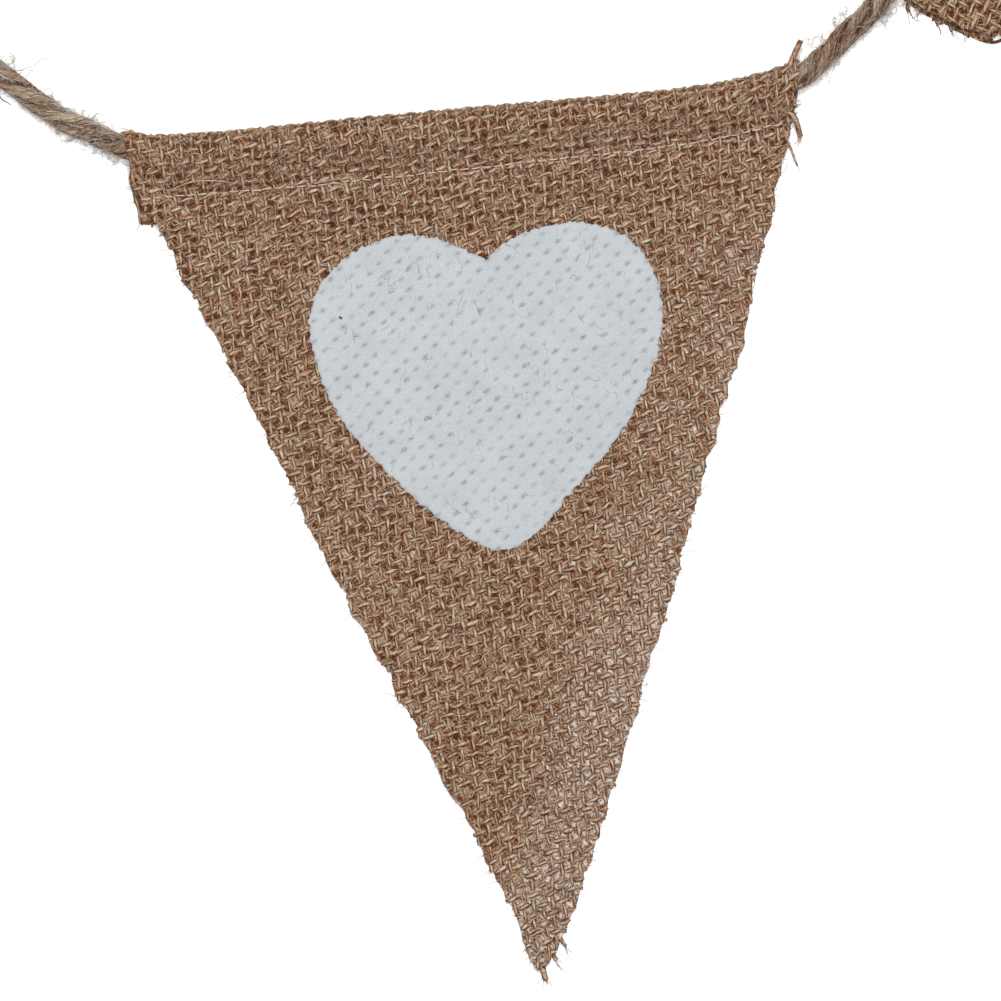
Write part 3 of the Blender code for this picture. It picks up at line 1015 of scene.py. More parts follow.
def yarn_material():
    """Jute yarn: slanting fibre streaks from dark red-brown to pale tan, with relief, a painted
    highlight along the top of each yarn and, through its tone, painted shade where it dips under its
    neighbours.
    """
    made = bpy.data.materials.get("hessian_yarn")
    if made:
        return made
    material, tree, shader, node = nodes_of("hessian_yarn")
    place, upness = yarn_place(node, 3.0, np.radians(YARN_SLANT), 1.9, 0.50)
    streak = noise(node, place, 1.0, 3.0, 0.75)
    speckle = grain(node, 2300.0)
    level = scaled(node, attribute(node, "tone"), 0.013, -0.575)
    level = scaled(node, streak, 1.65, level)
    level = scaled(node, speckle, 0.37, level)
    # Painted highlight: the upper side of each yarn is made lighter, as if lit from above.
    crest_highlight = maths(node, "POWER", maths(node, "MAXIMUM", upness, 0.0), 3.0)
    level = scaled(node, crest_highlight, 0.21, level)
    red = ramp(
        node,
        level,
        (
            (0.34, (0.060, 0.017, 0.006)),
            (0.47, (0.185, 0.082, 0.038)),
            (0.58, (0.285, 0.160, 0.090)),
            (0.70, (0.385, 0.245, 0.155)),
            (0.90, (0.580, 0.430, 0.310)),
        ),
    )
    khaki = ramp(
        node,
        level,
        (
            (0.34, (0.048, 0.022, 0.010)),
            (0.47, (0.165, 0.095, 0.051)),
            (0.58, (0.258, 0.174, 0.109)),
            (0.70, (0.365, 0.273, 0.186)),
            (0.90, (0.570, 0.465, 0.350)),
        ),
    )
    patch = noise(node, place, 0.23, 1.0)
    share = scaled(node, patch, 5.0, -2.0)
    colour = mixed(node, clipped(node, share), red, khaki)
    tree.links.new(colour, shader.inputs["Base Color"])
    bump(node, tree, shader, streak, 1.0, 0.0002)
    finish_shader(shader, 0.75, 0.25)
    return material


def down_material():
    """Tangled fine fibres: red-brown by the yarns, with painted shade in dark pits, and pale, as
    painted light, where an opening would let the light through.
    """
    material, tree, shader, node = nodes_of("hessian_down")
    mapped = node("ShaderNodeUVMap", uv_map="weave").outputs["UV"]
    split = node("ShaderNodeSeparateXYZ", mapped)
    holes = [
        maths(node, "ABSOLUTE", maths(node, "SINE", maths(node, "MULTIPLY", split.outputs[k], np.pi)))
        for k in (0, 1)
    ]
    hole = maths(node, "MULTIPLY", *holes)
    hole = maths(node, "POWER", hole, 1.7)
    cell = node("ShaderNodeVectorMath", mapped, operation="FLOOR").outputs["Vector"]
    chance = node("ShaderNodeTexWhiteNoise", cell, noise_dimensions="2D").outputs["Value"]
    strands = []
    for angle, shift in ((0.55, 0.0), (-0.95, 7.0)):
        turned = node("ShaderNodeVectorRotate", mapped, rotation_type="Z_AXIS")
        turned.inputs["Angle"].default_value = angle
        drawn = node("ShaderNodeMapping", turned.outputs["Vector"])
        drawn.inputs["Scale"].default_value = (0.9, 3.8, 1.0)
        drawn.inputs["Location"].default_value = (shift, 0.0, 0.0)
        strands.append(noise(node, drawn.outputs["Vector"], 1.0, 3.0, 0.7))
    fibre = maths(node, "MAXIMUM", *strands)
    broad = noise(node, mapped, 0.9, 2.0)
    speckle = grain(node, 1900.0)
    tone = attribute(node, "tone")
    level = scaled(node, fibre, 3.0, -1.19)
    level = scaled(node, broad, 0.5, maths(node, "SUBTRACT", level, 0.46))
    level = scaled(node, speckle, 0.42, level)
    # Painted shade: dark pits in the openings where the weave is closed.
    pit_shade = maths(node, "MULTIPLY", maths(node, "SUBTRACT", 0.66, chance), 4.0)
    pit_shade = clipped(node, pit_shade)
    closed = maths(node, "MAXIMUM", scaled(node, tone, -2.2, 1.0))
    pit_shade = maths(node, "MULTIPLY", maths(node, "MULTIPLY", pit_shade, closed), hole)
    level = scaled(node, pit_shade, -0.34, maths(node, "ADD", level, 0.06))
    # Painted light: the open cells turn pale, standing in for light through the weave from the
    # surface beneath.
    painted_light_share = scaled(node, tone, 1.5, chance)
    painted_light_share = maths(node, "MULTIPLY", maths(node, "SUBTRACT", painted_light_share, 0.86), 2.2)
    painted_light_share = clipped(node, painted_light_share)
    painted_light_share = maths(node, "MULTIPLY", painted_light_share, hole)
    painted_light_share = maths(node, "MULTIPLY", painted_light_share, scaled(node, tone, 0.5, 0.5))
    spotted = maths(node, "MAXIMUM", scaled(node, speckle, 5.0, -1.75))
    painted_light_share = maths(node, "MULTIPLY", painted_light_share, spotted)
    brown = ramp(
        node,
        level,
        (
            (0.16, (0.060, 0.015, 0.005)),
            (0.34, (0.145, 0.056, 0.026)),
            (0.52, (0.262, 0.155, 0.092)),
            (0.66, (0.350, 0.243, 0.160)),
            (0.95, (0.520, 0.420, 0.315)),
        ),
    )
    pale = ramp(
        node,
        level,
        (
            (0.20, (0.220, 0.165, 0.130)),
            (0.50, (0.415, 0.372, 0.338)),
            (0.85, (0.640, 0.605, 0.580)),
        ),
    )
    share = maths(node, "MINIMUM", maths(node, "MULTIPLY", painted_light_share, 1.3), 1.0)
    tree.links.new(mixed(node, share, brown, pale), shader.inputs["Base Color"])
    bump(node, tree, shader, fibre, 1.0, 0.0003)
    finish_shader(shader, 0.85, 0.15)
    return material


def strand_material():
    """The twine's strands: pale khaki fibres that run nearly along the twine, with painted shade in
    the seams between the strands.
    """
    material, tree, shader, node = nodes_of("twine_strand")
    place, upness = yarn_place(node, 7.8, np.radians(STRAND_SLANT), 2.3, 0.20)
    streak = noise(node, place, 1.0, 3.0, 0.65)
    streak = scaled(node, streak, 1.35, -0.175)
    level = scaled(node, attribute(node, "tone"), 0.045, streak)
    # Painted shade and highlight: each strand is lighter on its outer side and darker in the seams
    # between strands.
    level = scaled(node, upness, 0.17, maths(node, "SUBTRACT", level, 0.025))
    colour = ramp(
        node,
        level,
        (
            (0.38, (0.075, 0.022, 0.009)),
            (0.49, (0.160, 0.076, 0.038)),
            (0.59, (0.240, 0.158, 0.098)),
            (0.70, (0.345, 0.258, 0.172)),
            (0.84, (0.540, 0.450, 0.345)),
        ),
    )
    tree.links.new(colour, shader.inputs["Base Color"])
    bump(node, tree, shader, streak, 1.0, 0.0005)
    finish_shader(shader, 0.7, 0.3)
    return material


def plain_material(name, colours, roughness, scale=2.0):
    """A thread or hair: streaks between colours along it, from low tones to high ones."""
    material, tree, shader, node = nodes_of(name)
    place, _ = yarn_place(node, 1.0, 0.4, 2.0, 0.6)
    streak = noise(node, place, scale, 2.0)
    level = scaled(node, attribute(node, "tone"), 0.08, streak)
    stops = [(0.35 + 0.30 * number, colour) for number, colour in enumerate(colours)]
    tree.links.new(ramp(node, level, stops), shader.inputs["Base Color"])
    finish_shader(shader, roughness, 0.3)
    return material


def paint_material():
    """Matt pale grey paint, with painted shade that makes it a little darker and bluer in the weave's
    hollows.
    """
    material, tree, shader, node = nodes_of("heart_paint")
    place = node("ShaderNodeTexCoord").outputs["Object"]
    coarse = noise(node, place, 160.0, 3.0, 0.6)
    fine = noise(node, place, 2600.0, 3.0, 0.6)
    # Painted shade: the tone is how deep the hollow is, and deeper means darker.
    level = scaled(node, attribute(node, "tone"), -0.55, 0.62)
    level = scaled(node, coarse, 0.22, level)
    level = scaled(node, fine, 0.46, level)
    colour = ramp(
        node,
        level,
        (
            (0.45, (0.190, 0.207, 0.224)),
            (0.75, (0.310, 0.330, 0.348)),
            (0.95, (0.384, 0.406, 0.425)),
            (1.05, (0.420, 0.443, 0.462)),
        ),
    )
    tree.links.new(colour, shader.inputs["Base Color"])
    bump(node, tree, shader, fine, 0.5, 0.00012)
    finish_shader(shader, 0.62, 0.35)
    return material


def floor_material():
    """Matt white, a little lit of its own."""
    material, _, shader, _ = nodes_of("pale_floor")
    shader.inputs["Base Color"].default_value = (0.96, 0.96, 0.96, 1.0)
    shader.inputs["Emission Color"].default_value = (1.0, 1.0, 1.0, 1.0)
    shader.inputs["Emission Strength"].default_value = 0.03
    finish_shader(shader, 0.9, 0.1)
    return material


def at_photo(x, y):
    """The place on the surface of a pixel of the photograph."""
    return (
        HEART_CORNER[0] + (x - CORNER_PIXEL[0]) * PIXEL,
        HEART_CORNER[1] - (y - CORNER_PIXEL[1]) * PIXEL,
    )


def photo_path(pixels, heights):
    """A line through pixels of the photograph at the heights given, made smooth."""
    places = [at_photo(x, y) for x, y in pixels]
    return smooth_curve(np.column_stack([places, heights]), 5)


def on_front(cloth, pixels, offs):
    """A smooth line over the front through pixels of the photograph, off the cloth's middle."""
    away = np.array([at_photo(x, y) for x, y in pixels]) - cloth.corner
    c, s = np.cos(cloth.turn), np.sin(cloth.turn)
    across = away[:, 0] * c + away[:, 1] * s
    down = away[:, 0] * s - away[:, 1] * c
    line = smooth_curve(np.column_stack([across, cloth.way_of(down), offs]), 5)
    return cloth.place(line[:, 0], line[:, 1], line[:, 2])[0]


def camera():
    """Straight above the surface, with a long lens that takes in the photograph's square."""
    middle = at_photo(PHOTO_SIDE / 2, PHOTO_SIDE / 2)
    data = bpy.data.cameras.new("camera")
    data.sensor_width = CAMERA_SENSOR
    data.lens = CAMERA_SENSOR * CAMERA_HEIGHT / (PHOTO_SIDE * PIXEL)
    data.clip_start = 0.01
    data.clip_end = 20.0
    made = bpy.data.objects.new("camera", data)
    made.location = (middle[0] * MM, middle[1] * MM, CAMERA_HEIGHT * MM)
    bpy.context.scene.collection.objects.link(made)
    bpy.context.scene.camera = made


def area_light(name, place, target, size, power, colour):
    """A round light that shines on a target."""
    data = bpy.data.lights.new(name, "AREA")
    data.shape = "DISK"
    data.size = size
    data.energy = power
    data.color = colour
    made = bpy.data.objects.new(name, data)
    made.location = place
    aim = Vector(target) - Vector(place)
    made.rotation_euler = aim.to_track_quat("-Z", "Y").to_euler()
    bpy.context.scene.collection.objects.link(made)


def stage():
    """A key light from the top, a broad light above, a soft world and the pale surface."""
    middle = at_photo(PHOTO_SIDE / 2, PHOTO_SIDE / 2)
    x, y = middle[0] * MM, middle[1] * MM
    target = (x, y, 0.0)
    warm = (1.0, 0.985, 0.96)
    cool = (0.985, 0.99, 1.0)
    area_light("key", (x + 0.02, y + 0.50, 1.50), target, KEY_SIZE, KEY_POWER, warm)
    area_light("above", (x, y + 0.02, 1.6), target, FILL_SIZE, FILL_POWER, cool)
    world = bpy.data.worlds.new("studio")
    world.use_nodes = True
    background = world.node_tree.nodes["Background"]
    background.inputs["Color"].default_value = (0.95, 0.97, 1.0, 1.0)
    background.inputs["Strength"].default_value = WORLD_STRENGTH
    scene = bpy.context.scene
    scene.world = world
    scene.view_settings.view_transform = "Standard"
    scene.view_settings.look = "None"
    lay_floor()


def lay_floor():
    """The pale surface that the bunting lies on."""
    mesh = bpy.data.meshes.new("floor")
    corners = [(-FLOOR_HALF, -FLOOR_HALF), (FLOOR_HALF, -FLOOR_HALF)]
    corners += [(FLOOR_HALF, FLOOR_HALF), (-FLOOR_HALF, FLOOR_HALF)]
    mesh.from_pydata([(a, b, -FLOOR_BELOW) for a, b in corners], [], [(0, 1, 2, 3)])
    mesh.materials.append(floor_material())
    floor = bpy.data.objects.new("floor", mesh)
    bpy.context.scene.collection.objects.link(floor)


def lay_strands(batch, rng, path, start, diameter, sides, open_end=0.0, shade=0.0):
    """Three strands laid round a path, whose first point is at the way given along the twine."""
    way, _, side, over = around(path)
    loose = 1.0 + open_end * smoothstep(way, way[-1] - 6.0, way[-1])
    for strand in range(3):
        phase = 2 * np.pi * ((start + way) / TWINE_LAY + strand / 3)
        out = side * np.cos(phase)[:, None] + over * np.sin(phase)[:, None]
        middle = path + out * (STRAND_OUT * diameter * loose)[:, None]
        swell = 1.0 + 0.07 * wander(rng, way, 5.0)
        batch.tube(
            middle,
            out,
            STRAND_WIDE * diameter * swell,
            STRAND_HIGH * diameter * swell,
            sides,
            shade + 0.8 * wander(rng, way, 9.0) + 0.5 * rng.standard_normal(),
            rng.uniform(0.0, 100.0),
            start,
        )


def lay_fibres(batch, rng, path, start, number, diameter, shade):
    """Loose fibres that lie along the strands of a stretch of twine."""
    way, _, side, over = around(path)
    for _ in range(number):
        length = rng.uniform(3.0, 8.0)
        begin = rng.uniform(0.0, max(way[-1] - length, 0.1))
        at = np.linspace(begin, min(begin + length, way[-1]), 8)
        phase = rng.uniform(0.0, 2 * np.pi)
        phase = phase + 2 * np.pi * (at - begin) / TWINE_LAY * rng.uniform(0.2, 1.3)
        high = 0.49 * diameter + 0.10 * np.sin(np.linspace(0, np.pi, 8)) * rng.uniform(0.2, 2.6)
        pick = [np.interp(at, way, line) for line in (*path.T, *side.T, *over.T)]
        middle, right, up = (np.column_stack(pick[k : k + 3]) for k in (0, 3, 6))
        out = right * np.cos(phase)[:, None] + up * np.sin(phase)[:, None]
        wide = rng.uniform(0.05, 0.13) * (0.3 + 0.7 * np.sin(np.linspace(0.15, 2.99, 8)))
        line = middle + out * high[:, None]
        batch.tube(line, out, wide, wide * 0.7, 4, shade + 2.2 * rng.normal(), begin)


def lay_hairs(batch, rng, path, number, reach, longest):
    """Fine hairs that stand off a stretch of twine; reach is how far out they start."""
    way, ahead, side, over = around(path)
    share = np.linspace(0.0, 1.0, 5)[:, None]
    for _ in range(number):
        at = rng.uniform(0.0, way[-1])
        point = [np.interp(at, way, line) for line in (*path.T, *ahead.T, *side.T, *over.T)]
        middle, forward, right, up = (np.array(point[k : k + 3]) for k in (0, 3, 6, 9))
        phase = rng.uniform(0.0, 2 * np.pi)
        out = right * np.cos(phase) + up * np.sin(phase)
        length = min(0.6 + rng.gamma(1.2, 0.8), longest)
        lean = forward * rng.choice((-1.0, 1.0)) * rng.uniform(0.2, 1.8) + out * 0.9
        bend = rng.normal(0.0, 0.45, 3)
        line = middle + out * reach + share * unit(lean) * length + share**2 * bend * length
        line[:, 2] = np.maximum(line[:, 2], 0.1)
        wide = rng.uniform(0.045, 0.085) * (1.0 - 0.6 * share[:, 0])
        batch.fibre(line, wide, 3, 4.0 + 2.0 * rng.normal(), at)


def tangle(batch, rng, pixel, spread, number):
    """A little tangle of curled hairs by the twine, about a pixel of the photograph."""
    x, y = at_photo(*pixel)
    for _ in range(number):
        start = rng.uniform(0.0, 2 * np.pi)
        turn = start + rng.choice((-1.0, 1.0)) * np.linspace(0.0, rng.uniform(0.8, 3.2), 7)
        radius = rng.uniform(0.3, 1.1) * np.linspace(1.0, rng.uniform(0.6, 1.7), 7)
        off_x, off_y = rng.normal(0.0, spread, 2)
        high = rng.uniform(1.0, 3.6) + rng.normal(0.0, 0.3) * np.linspace(-1.0, 1.0, 7)
        line = np.column_stack(
            [x + off_x + radius * np.cos(turn), y + off_y + radius * np.sin(turn), high]
        )
        wide = rng.uniform(0.045, 0.08)
        batch.fibre(line, wide, 3, 5.0 + 2.0 * rng.normal(), start)


def stray(batch, pixels, height, half_width, tone):
    """One long fibre through pixels of the photograph: a loose hair, except the thick dark one that
    is painted shade along the left cord.
    """
    line = photo_path(pixels, np.full(len(pixels), height))
    wide = half_width * np.linspace(1.0, 0.5, len(line))
    batch.fibre(line, wide, 4, tone, 0.0)


def coil_route(centre, start_angle, tie_angle, knot_angle):
    """From a coil's outer end round its turns, then in to the back of its knot."""
    end_angle = knot_angle - 45.0 + 720.0
    angles = np.arange(start_angle, end_angle, 5.0)
    radius = COIL_OUTER_TURN - COIL_PITCH * (angles - start_angle) / 360.0
    off_tie = (angles - tie_angle + 180.0) % 360.0 - 180.0
    height = TWINE_RADIUS + 0.1 + COIL_LIFT * np.exp(-((off_tie / 20.0) ** 2))
    turns = np.column_stack(
        [
            centre[0] + radius * np.cos(np.radians(angles)),
            centre[1] + radius * np.sin(np.radians(angles)),
            height,
        ]
    )
    inward = []
    for back, away, high in ((32.4, 19.5, 2.6), (20.6, 18.4, 2.9), (14.6, 15.13, 3.4)):
        turn = np.radians(knot_angle - back)
        inward.append((centre[0] + away * np.cos(turn), centre[1] + away * np.sin(turn), high))
    return np.vstack([turns, inward])


def knot_route(centre, knot_angle):
    """An overhand knot beyond the coil's inner end, and the stub that comes out of it."""
    angle = np.linspace(0.45, 4 * np.pi - 0.45, 60)
    ring = KNOT_RING + KNOT_WEAVE * np.cos(1.5 * angle)
    start = KNOT_RING + KNOT_WEAVE
    knot = np.column_stack(
        [ring * np.sin(angle), start - ring * np.cos(angle), -0.85 * KNOT_WEAVE * np.sin(1.5 * angle)]
    )
    lead = [(-6.2, 0.0, 0.0), (-4.2, 0.0, 0.0)]
    stub = [(5.0, 0.1, 0.0), (8.0, 0.7, -0.5), (11.5, 0.9, -1.2), (15.0, 0.2, -1.5)]
    local = resample(smooth_curve(np.vstack([lead, knot[4:-4], stub]), 4), 0.7)
    turn = np.radians(knot_angle + 180.0 - 38.0)
    middle = np.array(centre) + KNOT_AWAY * np.array(
        [np.cos(np.radians(knot_angle)), np.sin(np.radians(knot_angle))]
    )
    c, s = np.cos(turn), np.sin(turn)
    return np.column_stack(
        [
            middle[0] + local[:, 0] * c - local[:, 1] * s,
            middle[1] + local[:, 0] * s + local[:, 1] * c,
            KNOT_HEIGHT + local[:, 2],
        ]
    )


def knot(name, rng, centre, knot_angle, node, strand, hair):
    """The knot with its stub, whose strands open at the end, and the hairs on it."""
    path = knot_route(centre, knot_angle)
    batch = Batch()
    lay_strands(batch, rng, path, 0.0, KNOT_TWINE, 8, 0.9)
    piece = batch.finish(name, strand)
    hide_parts(node)
    batch = Batch()
    lay_hairs(batch, rng, path, 150, 1.6, 4.0)
    end = unit(path[-1] - path[-4])
    share = np.linspace(0.0, 1.0, 5)[:, None]
    for _ in range(60):
        spread = unit(end + rng.normal(0.0, 0.35, 3))
        length = rng.uniform(2.0, 6.0)
        line = path[-1] + rng.normal(0.0, 0.9, 3) - end + share * spread * length
        line[:, 2] = np.maximum(line[:, 2], 0.15)
        batch.fibre(line, 0.07, 3, rng.normal(), length)
    tuft = batch.finish(name + "_tuft", hair)
    return [piece, tuft]


def tie(name, rng, centre, angle, node, thread):
    """A thread wound round the coil and tied in a small bow on top."""
    inner = COIL_OUTER_TURN - COIL_PITCH * COIL_TURNS - 2.9
    outer = COIL_OUTER_TURN + 2.9
    turn = np.linspace(0.0, 2 * np.pi * 6, 6 * 36)
    power = 0.45
    along_radius = np.sign(np.cos(turn)) * np.abs(np.cos(turn)) ** power
    along_height = np.sign(np.sin(turn)) * np.abs(np.sin(turn)) ** power
    wrap = np.column_stack(
        [
            (inner + outer) / 2 + (outer - inner) / 2 * along_radius,
            (turn / turn[-1] - 0.5) * 2.6 + rng.normal(0.0, 0.03, len(turn)),
            3.2 + 2.75 * along_height,
        ]
    )
    loops = [
        ((25.5, 0.0, 6.2), (28.5, 2.2, 6.8), (31.5, 4.6, 6.3), (31.0, 6.2, 6.1), (28.0, 4.2, 6.4)),
        ((25.5, 0.0, 6.2), (22.5, -2.0, 6.8), (19.8, -4.6, 6.3), (21.0, -6.0, 6.1)),
        ((25.5, 0.0, 6.2), (27.0, -2.6, 6.7), (29.5, -5.4, 6.0), (30.5, -8.2, 5.4)),
        ((25.5, 0.0, 6.2), (24.0, 2.4, 6.7), (21.8, 5.2, 6.0), (21.4, 8.0, 5.5)),
    ]
    loops[0] = (*loops[0], (25.5, 0.2, 6.3))
    loops[1] = (*loops[1], (23.5, -4.0, 6.4), (25.5, -0.2, 6.3))
    batch = Batch()
    c, s = np.cos(np.radians(angle)), np.sin(np.radians(angle))
    for line in [wrap] + [smooth_curve(loop, 6) for loop in loops]:
        world = np.column_stack(
            [centre[0] + line[:, 0] * c - line[:, 1] * s, centre[1] + line[:, 0] * s + line[:, 1] * c]
        )
        path = np.column_stack([world, line[:, 2]])
        above = (0.3 * c, 0.3 * s, 1.0)
        batch.tube(path, above, THREAD_WIDE, THREAD_WIDE, 5, 0.0, rng.uniform(0.0, 9.0))
    piece = batch.finish(name, thread)
    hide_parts(node)
    return piece


def twine(heart_cloth, plain_cloth, strand, hair, thread):
    """The whole twine, from knot to knot, as its free cords and the stretches in the casings."""
    rng = np.random.default_rng(5)
    left = coil_route(LEFT_COIL, LEFT_COIL_START, LEFT_TIE_ANGLE, LEFT_KNOT_ANGLE)[::-1]
    right = coil_route(RIGHT_COIL, RIGHT_COIL_START, RIGHT_TIE_ANGLE, RIGHT_KNOT_ANGLE)
    in_heart = [heart_cloth.world(a, d, CASED_TWINE_HEIGHT) for a, d in HEART_TWINE]
    in_plain = [plain_cloth.world(a, d, CASED_TWINE_HEIGHT) for a, d in PLAIN_TWINE]
    route = [left, LEFT_ROUTE, in_heart, MIDDLE_ROUTE, in_plain, RIGHT_ROUTE, right]
    path = resample(smooth_curve(np.vstack(route), 8), 0.4)
    way = along(path)

    def way_at(point):
        return way[np.argmin(np.linalg.norm(path - point, axis=1))]

    left_mouth = way_at(LEFT_ROUTE[-1])
    heart_end = way_at(heart_cloth.world(141.5, 5.0, CASED_TWINE_HEIGHT))
    plain_start = way_at(plain_cloth.world(7.0, 4.6, CASED_TWINE_HEIGHT))
    right_mouth = way_at(RIGHT_ROUTE[0])
    seen_left = way_at(LEFT_ROUTE[0])
    seen_right = way_at(RIGHT_ROUTE[-1])

    def stretch(begin, end, step):
        inside = path[(way >= begin) & (way <= end)]
        return resample(inside, step), way[way >= begin][0]

    def laid(name, parts, backwards=False, shade=0.0):
        """A piece of joined stretches, and the line of points that it follows."""
        batch = Batch()
        lines = [stretch(begin, end, step)[0] for begin, end, step in parts]
        joined = np.vstack([lines[0]] + [line[1:] for line in lines[1:]])
        lay_strands(batch, rng, joined, parts[0][0], TWINE_DIAMETER, 10, 0.0, shade)
        piece = batch.finish(name, strand)
        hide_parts("twine")
        return piece, joined[::-1] if backwards else joined

    def fuzzed(name, begin, end, hairs, fibres, tangles=(), strays=(), shade=0.0):
        line, start = stretch(begin, end, 0.8)
        batch = Batch()
        lay_hairs(batch, rng, line, hairs, 0.44 * TWINE_DIAMETER, 7.0)
        lay_fibres(batch, rng, line, start, fibres, TWINE_DIAMETER, shade)
        for pixel, spread, number in tangles:
            tangle(batch, rng, pixel, spread, number)
        for pixels, half_width, tone in strays:
            stray(batch, pixels, 2.4, half_width, tone)
        piece = batch.finish(name, hair)
        return piece

    total = way[-1]
    left_cord, left_line = laid(
        "twine_left", [(0.0, seen_left, 1.6), (seen_left, left_mouth, 0.8)], True
    )
    middle_cord, middle_line = laid(
        "twine_middle", [(heart_end, plain_start, 0.8)], False, -0.7
    )
    right_cord, right_line = laid(
        "twine_right", [(right_mouth, seen_right, 1.2), (seen_right, total, 1.6)]
    )
    for name, begin, end in (
        ("twine_in_heart", left_mouth, heart_end),
        ("twine_in_plain", plain_start, right_mouth),
    ):
        laid(name, [(begin, end, 2.0)])
    left_pieces = knot("left_end_knot", rng, LEFT_COIL, LEFT_KNOT_ANGLE, "knot_left", strand, hair)
    left_pieces.append(tie("left_tie", rng, LEFT_COIL, LEFT_TIE_ANGLE, "tie_left", thread))
    left_pieces.append(
        fuzzed(
            "twine_left_fuzz", seen_left, left_mouth + 7.0, 800, 260, LEFT_TANGLES, LEFT_STRAYS_AND_SHADE
        )
    )
    left_pieces.append(fuzzed("left_coil_fuzz", 0.0, seen_left, 380, 140))
    right_pieces = knot(
        "right_end_knot", rng, RIGHT_COIL, RIGHT_KNOT_ANGLE, "knot_right", strand, hair
    )
    right_pieces.append(tie("right_tie", rng, RIGHT_COIL, RIGHT_TIE_ANGLE, "tie_right", thread))
    right_pieces.append(fuzzed("twine_right_fuzz", right_mouth, seen_right, 400, 110))
    right_pieces.append(fuzzed("right_coil_fuzz", seen_right, total, 380, 140))
    middle_pieces = [
        fuzzed("twine_middle_fuzz", heart_end, plain_start, 700, 240, RIGHT_TANGLES, (), -1.0)
    ]
    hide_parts("twine", "coil_left")
    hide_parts("twine", "coil_right")


def depth_in(outline, across, down):
    """How far inside a closed outline each place lies; less than nothing outside it."""
    nearest = np.full(across.shape, np.inf)
    inside = np.zeros(across.shape, bool)
    for (x, y), (next_x, next_y) in zip(outline[:-1], outline[1:]):
        dx, dy = next_x - x, next_y - y
        px, py = across - x, down - y
        share = np.clip((px * dx + py * dy) / (dx * dx + dy * dy), 0.0, 1.0)
        nearest = np.minimum(nearest, np.hypot(px - share * dx, py - share * dy))
        if dy != 0.0:
            inside ^= ((py >= 0.0) != (py >= dy)) & (px < dx * py / dy)
    return np.where(inside, nearest, -nearest)


def hollows(rng, across, way):
    """Where the weave shows through the paint as small slanting hollows, from 0 to 1."""
    column, row = cells(across, way)
    deep = rng.uniform(0.35, 1.1, (64, 64))
    shift = rng.normal(0.0, 0.16, (2, 64, 64))
    slant = np.radians(HOLLOW_SLANT)
    total = np.zeros(across.shape)
    for next_column in (0, 1):
        for next_row in (0, 1):
            i = np.floor(column).astype(int) + next_column
            j = np.floor(row).astype(int) + next_row
            a = (column - i) * YARN_PITCH + shift[0][i % 64, j % 64]
            d = (row - j) * YARN_PITCH + shift[1][i % 64, j % 64]
            long_way = a * np.cos(slant) - d * np.sin(slant)
            short_way = a * np.sin(slant) + d * np.cos(slant)
            dent = np.exp(-((long_way / HOLLOW_LONG) ** 2) - (short_way / HOLLOW_SHORT) ** 2)
            total += np.where((i + j) % 2 == 0, dent * deep[i % 64, j % 64], 0.0)
    return np.minimum(total, 1.0)


def painted_heart(cloth, outline, material):
    """The film of paint: a fine grid inside the outline, with a ragged edge that dips."""
    rng = np.random.default_rng(31)
    across, down = np.meshgrid(
        np.arange(*PAINT_ACROSS, PAINT_STEP), np.arange(*PAINT_DOWN, PAINT_STEP)
    )
    rough = drift(rng, (1.1, 1.4, 1.9, 2.7, 4.3))
    column, row = cells(across, cloth.way_of(down))
    depth = depth_in(outline, across, down) + 0.15 * rough(across, down)
    depth += 0.06 * np.cos(np.pi * column) * np.cos(np.pi * row)
    for place_across, place_down, reach, bite in PAINT_CHIPS:
        away = np.hypot(across - place_across, down - place_down) / reach
        depth -= bite * np.exp(-(away**4))
    slope_down, slope_across = np.gradient(depth, PAINT_STEP)
    steep = np.maximum(slope_down**2 + slope_across**2, 0.3)
    move = np.where(depth < 0.0, -depth / steep, 0.0)
    across = across + move * slope_across
    down = down + move * slope_down
    inside = depth > 0.0
    corner = inside[:-1, :-1] | inside[1:, :-1] | inside[:-1, 1:] | inside[1:, 1:]
    number = np.arange(across.size).reshape(across.shape)
    cell = np.stack(
        [number[1:, :-1], number[1:, 1:], number[:-1, 1:], number[:-1, :-1]], axis=-1
    )[corner]
    used, places = np.unique(cell, return_inverse=True)
    cell = places.reshape(-1, 4)
    a, d = across.ravel()[used], down.ravel()[used]
    inner = np.maximum(depth.ravel()[used], 0.0)
    way = cloth.way_of(d)
    hollow = hollows(rng, a, way)
    gentle = drift(rng, (5.0, 7.0, 11.0))
    off = PAINT_OVER - HOLLOW_DEPTH * hollow + 0.02 * gentle(a, way)
    off = off - 0.20 * np.exp(-inner / 0.35)
    points, normals = cloth.place(a, way, off)
    edge = np.concatenate([cell[:, [k, (k + 1) % 4]] for k in range(4)])
    ordered = np.sort(edge, axis=1)
    _, first, times = np.unique(ordered, axis=0, return_index=True, return_counts=True)
    rim = edge[first[times == 1]]
    lower = {old: len(used) + new for new, old in enumerate(np.unique(rim))}
    skirt_points = points[np.unique(rim)] - normals[np.unique(rim)] * PAINT_SKIRT
    skirt = [(y, x, lower[x], lower[y]) for x, y in rim.tolist()]
    # Painted shade: the skirt round the film's edge gets the dark tone of a deep hollow.
    tone = np.concatenate([hollow, np.full(len(skirt_points), 0.6)])
    return new_piece(
        "painted_heart",
        np.vstack([points, skirt_points]),
        cell.tolist() + skirt,
        material,
        None,
        {"tone": tone},
    )


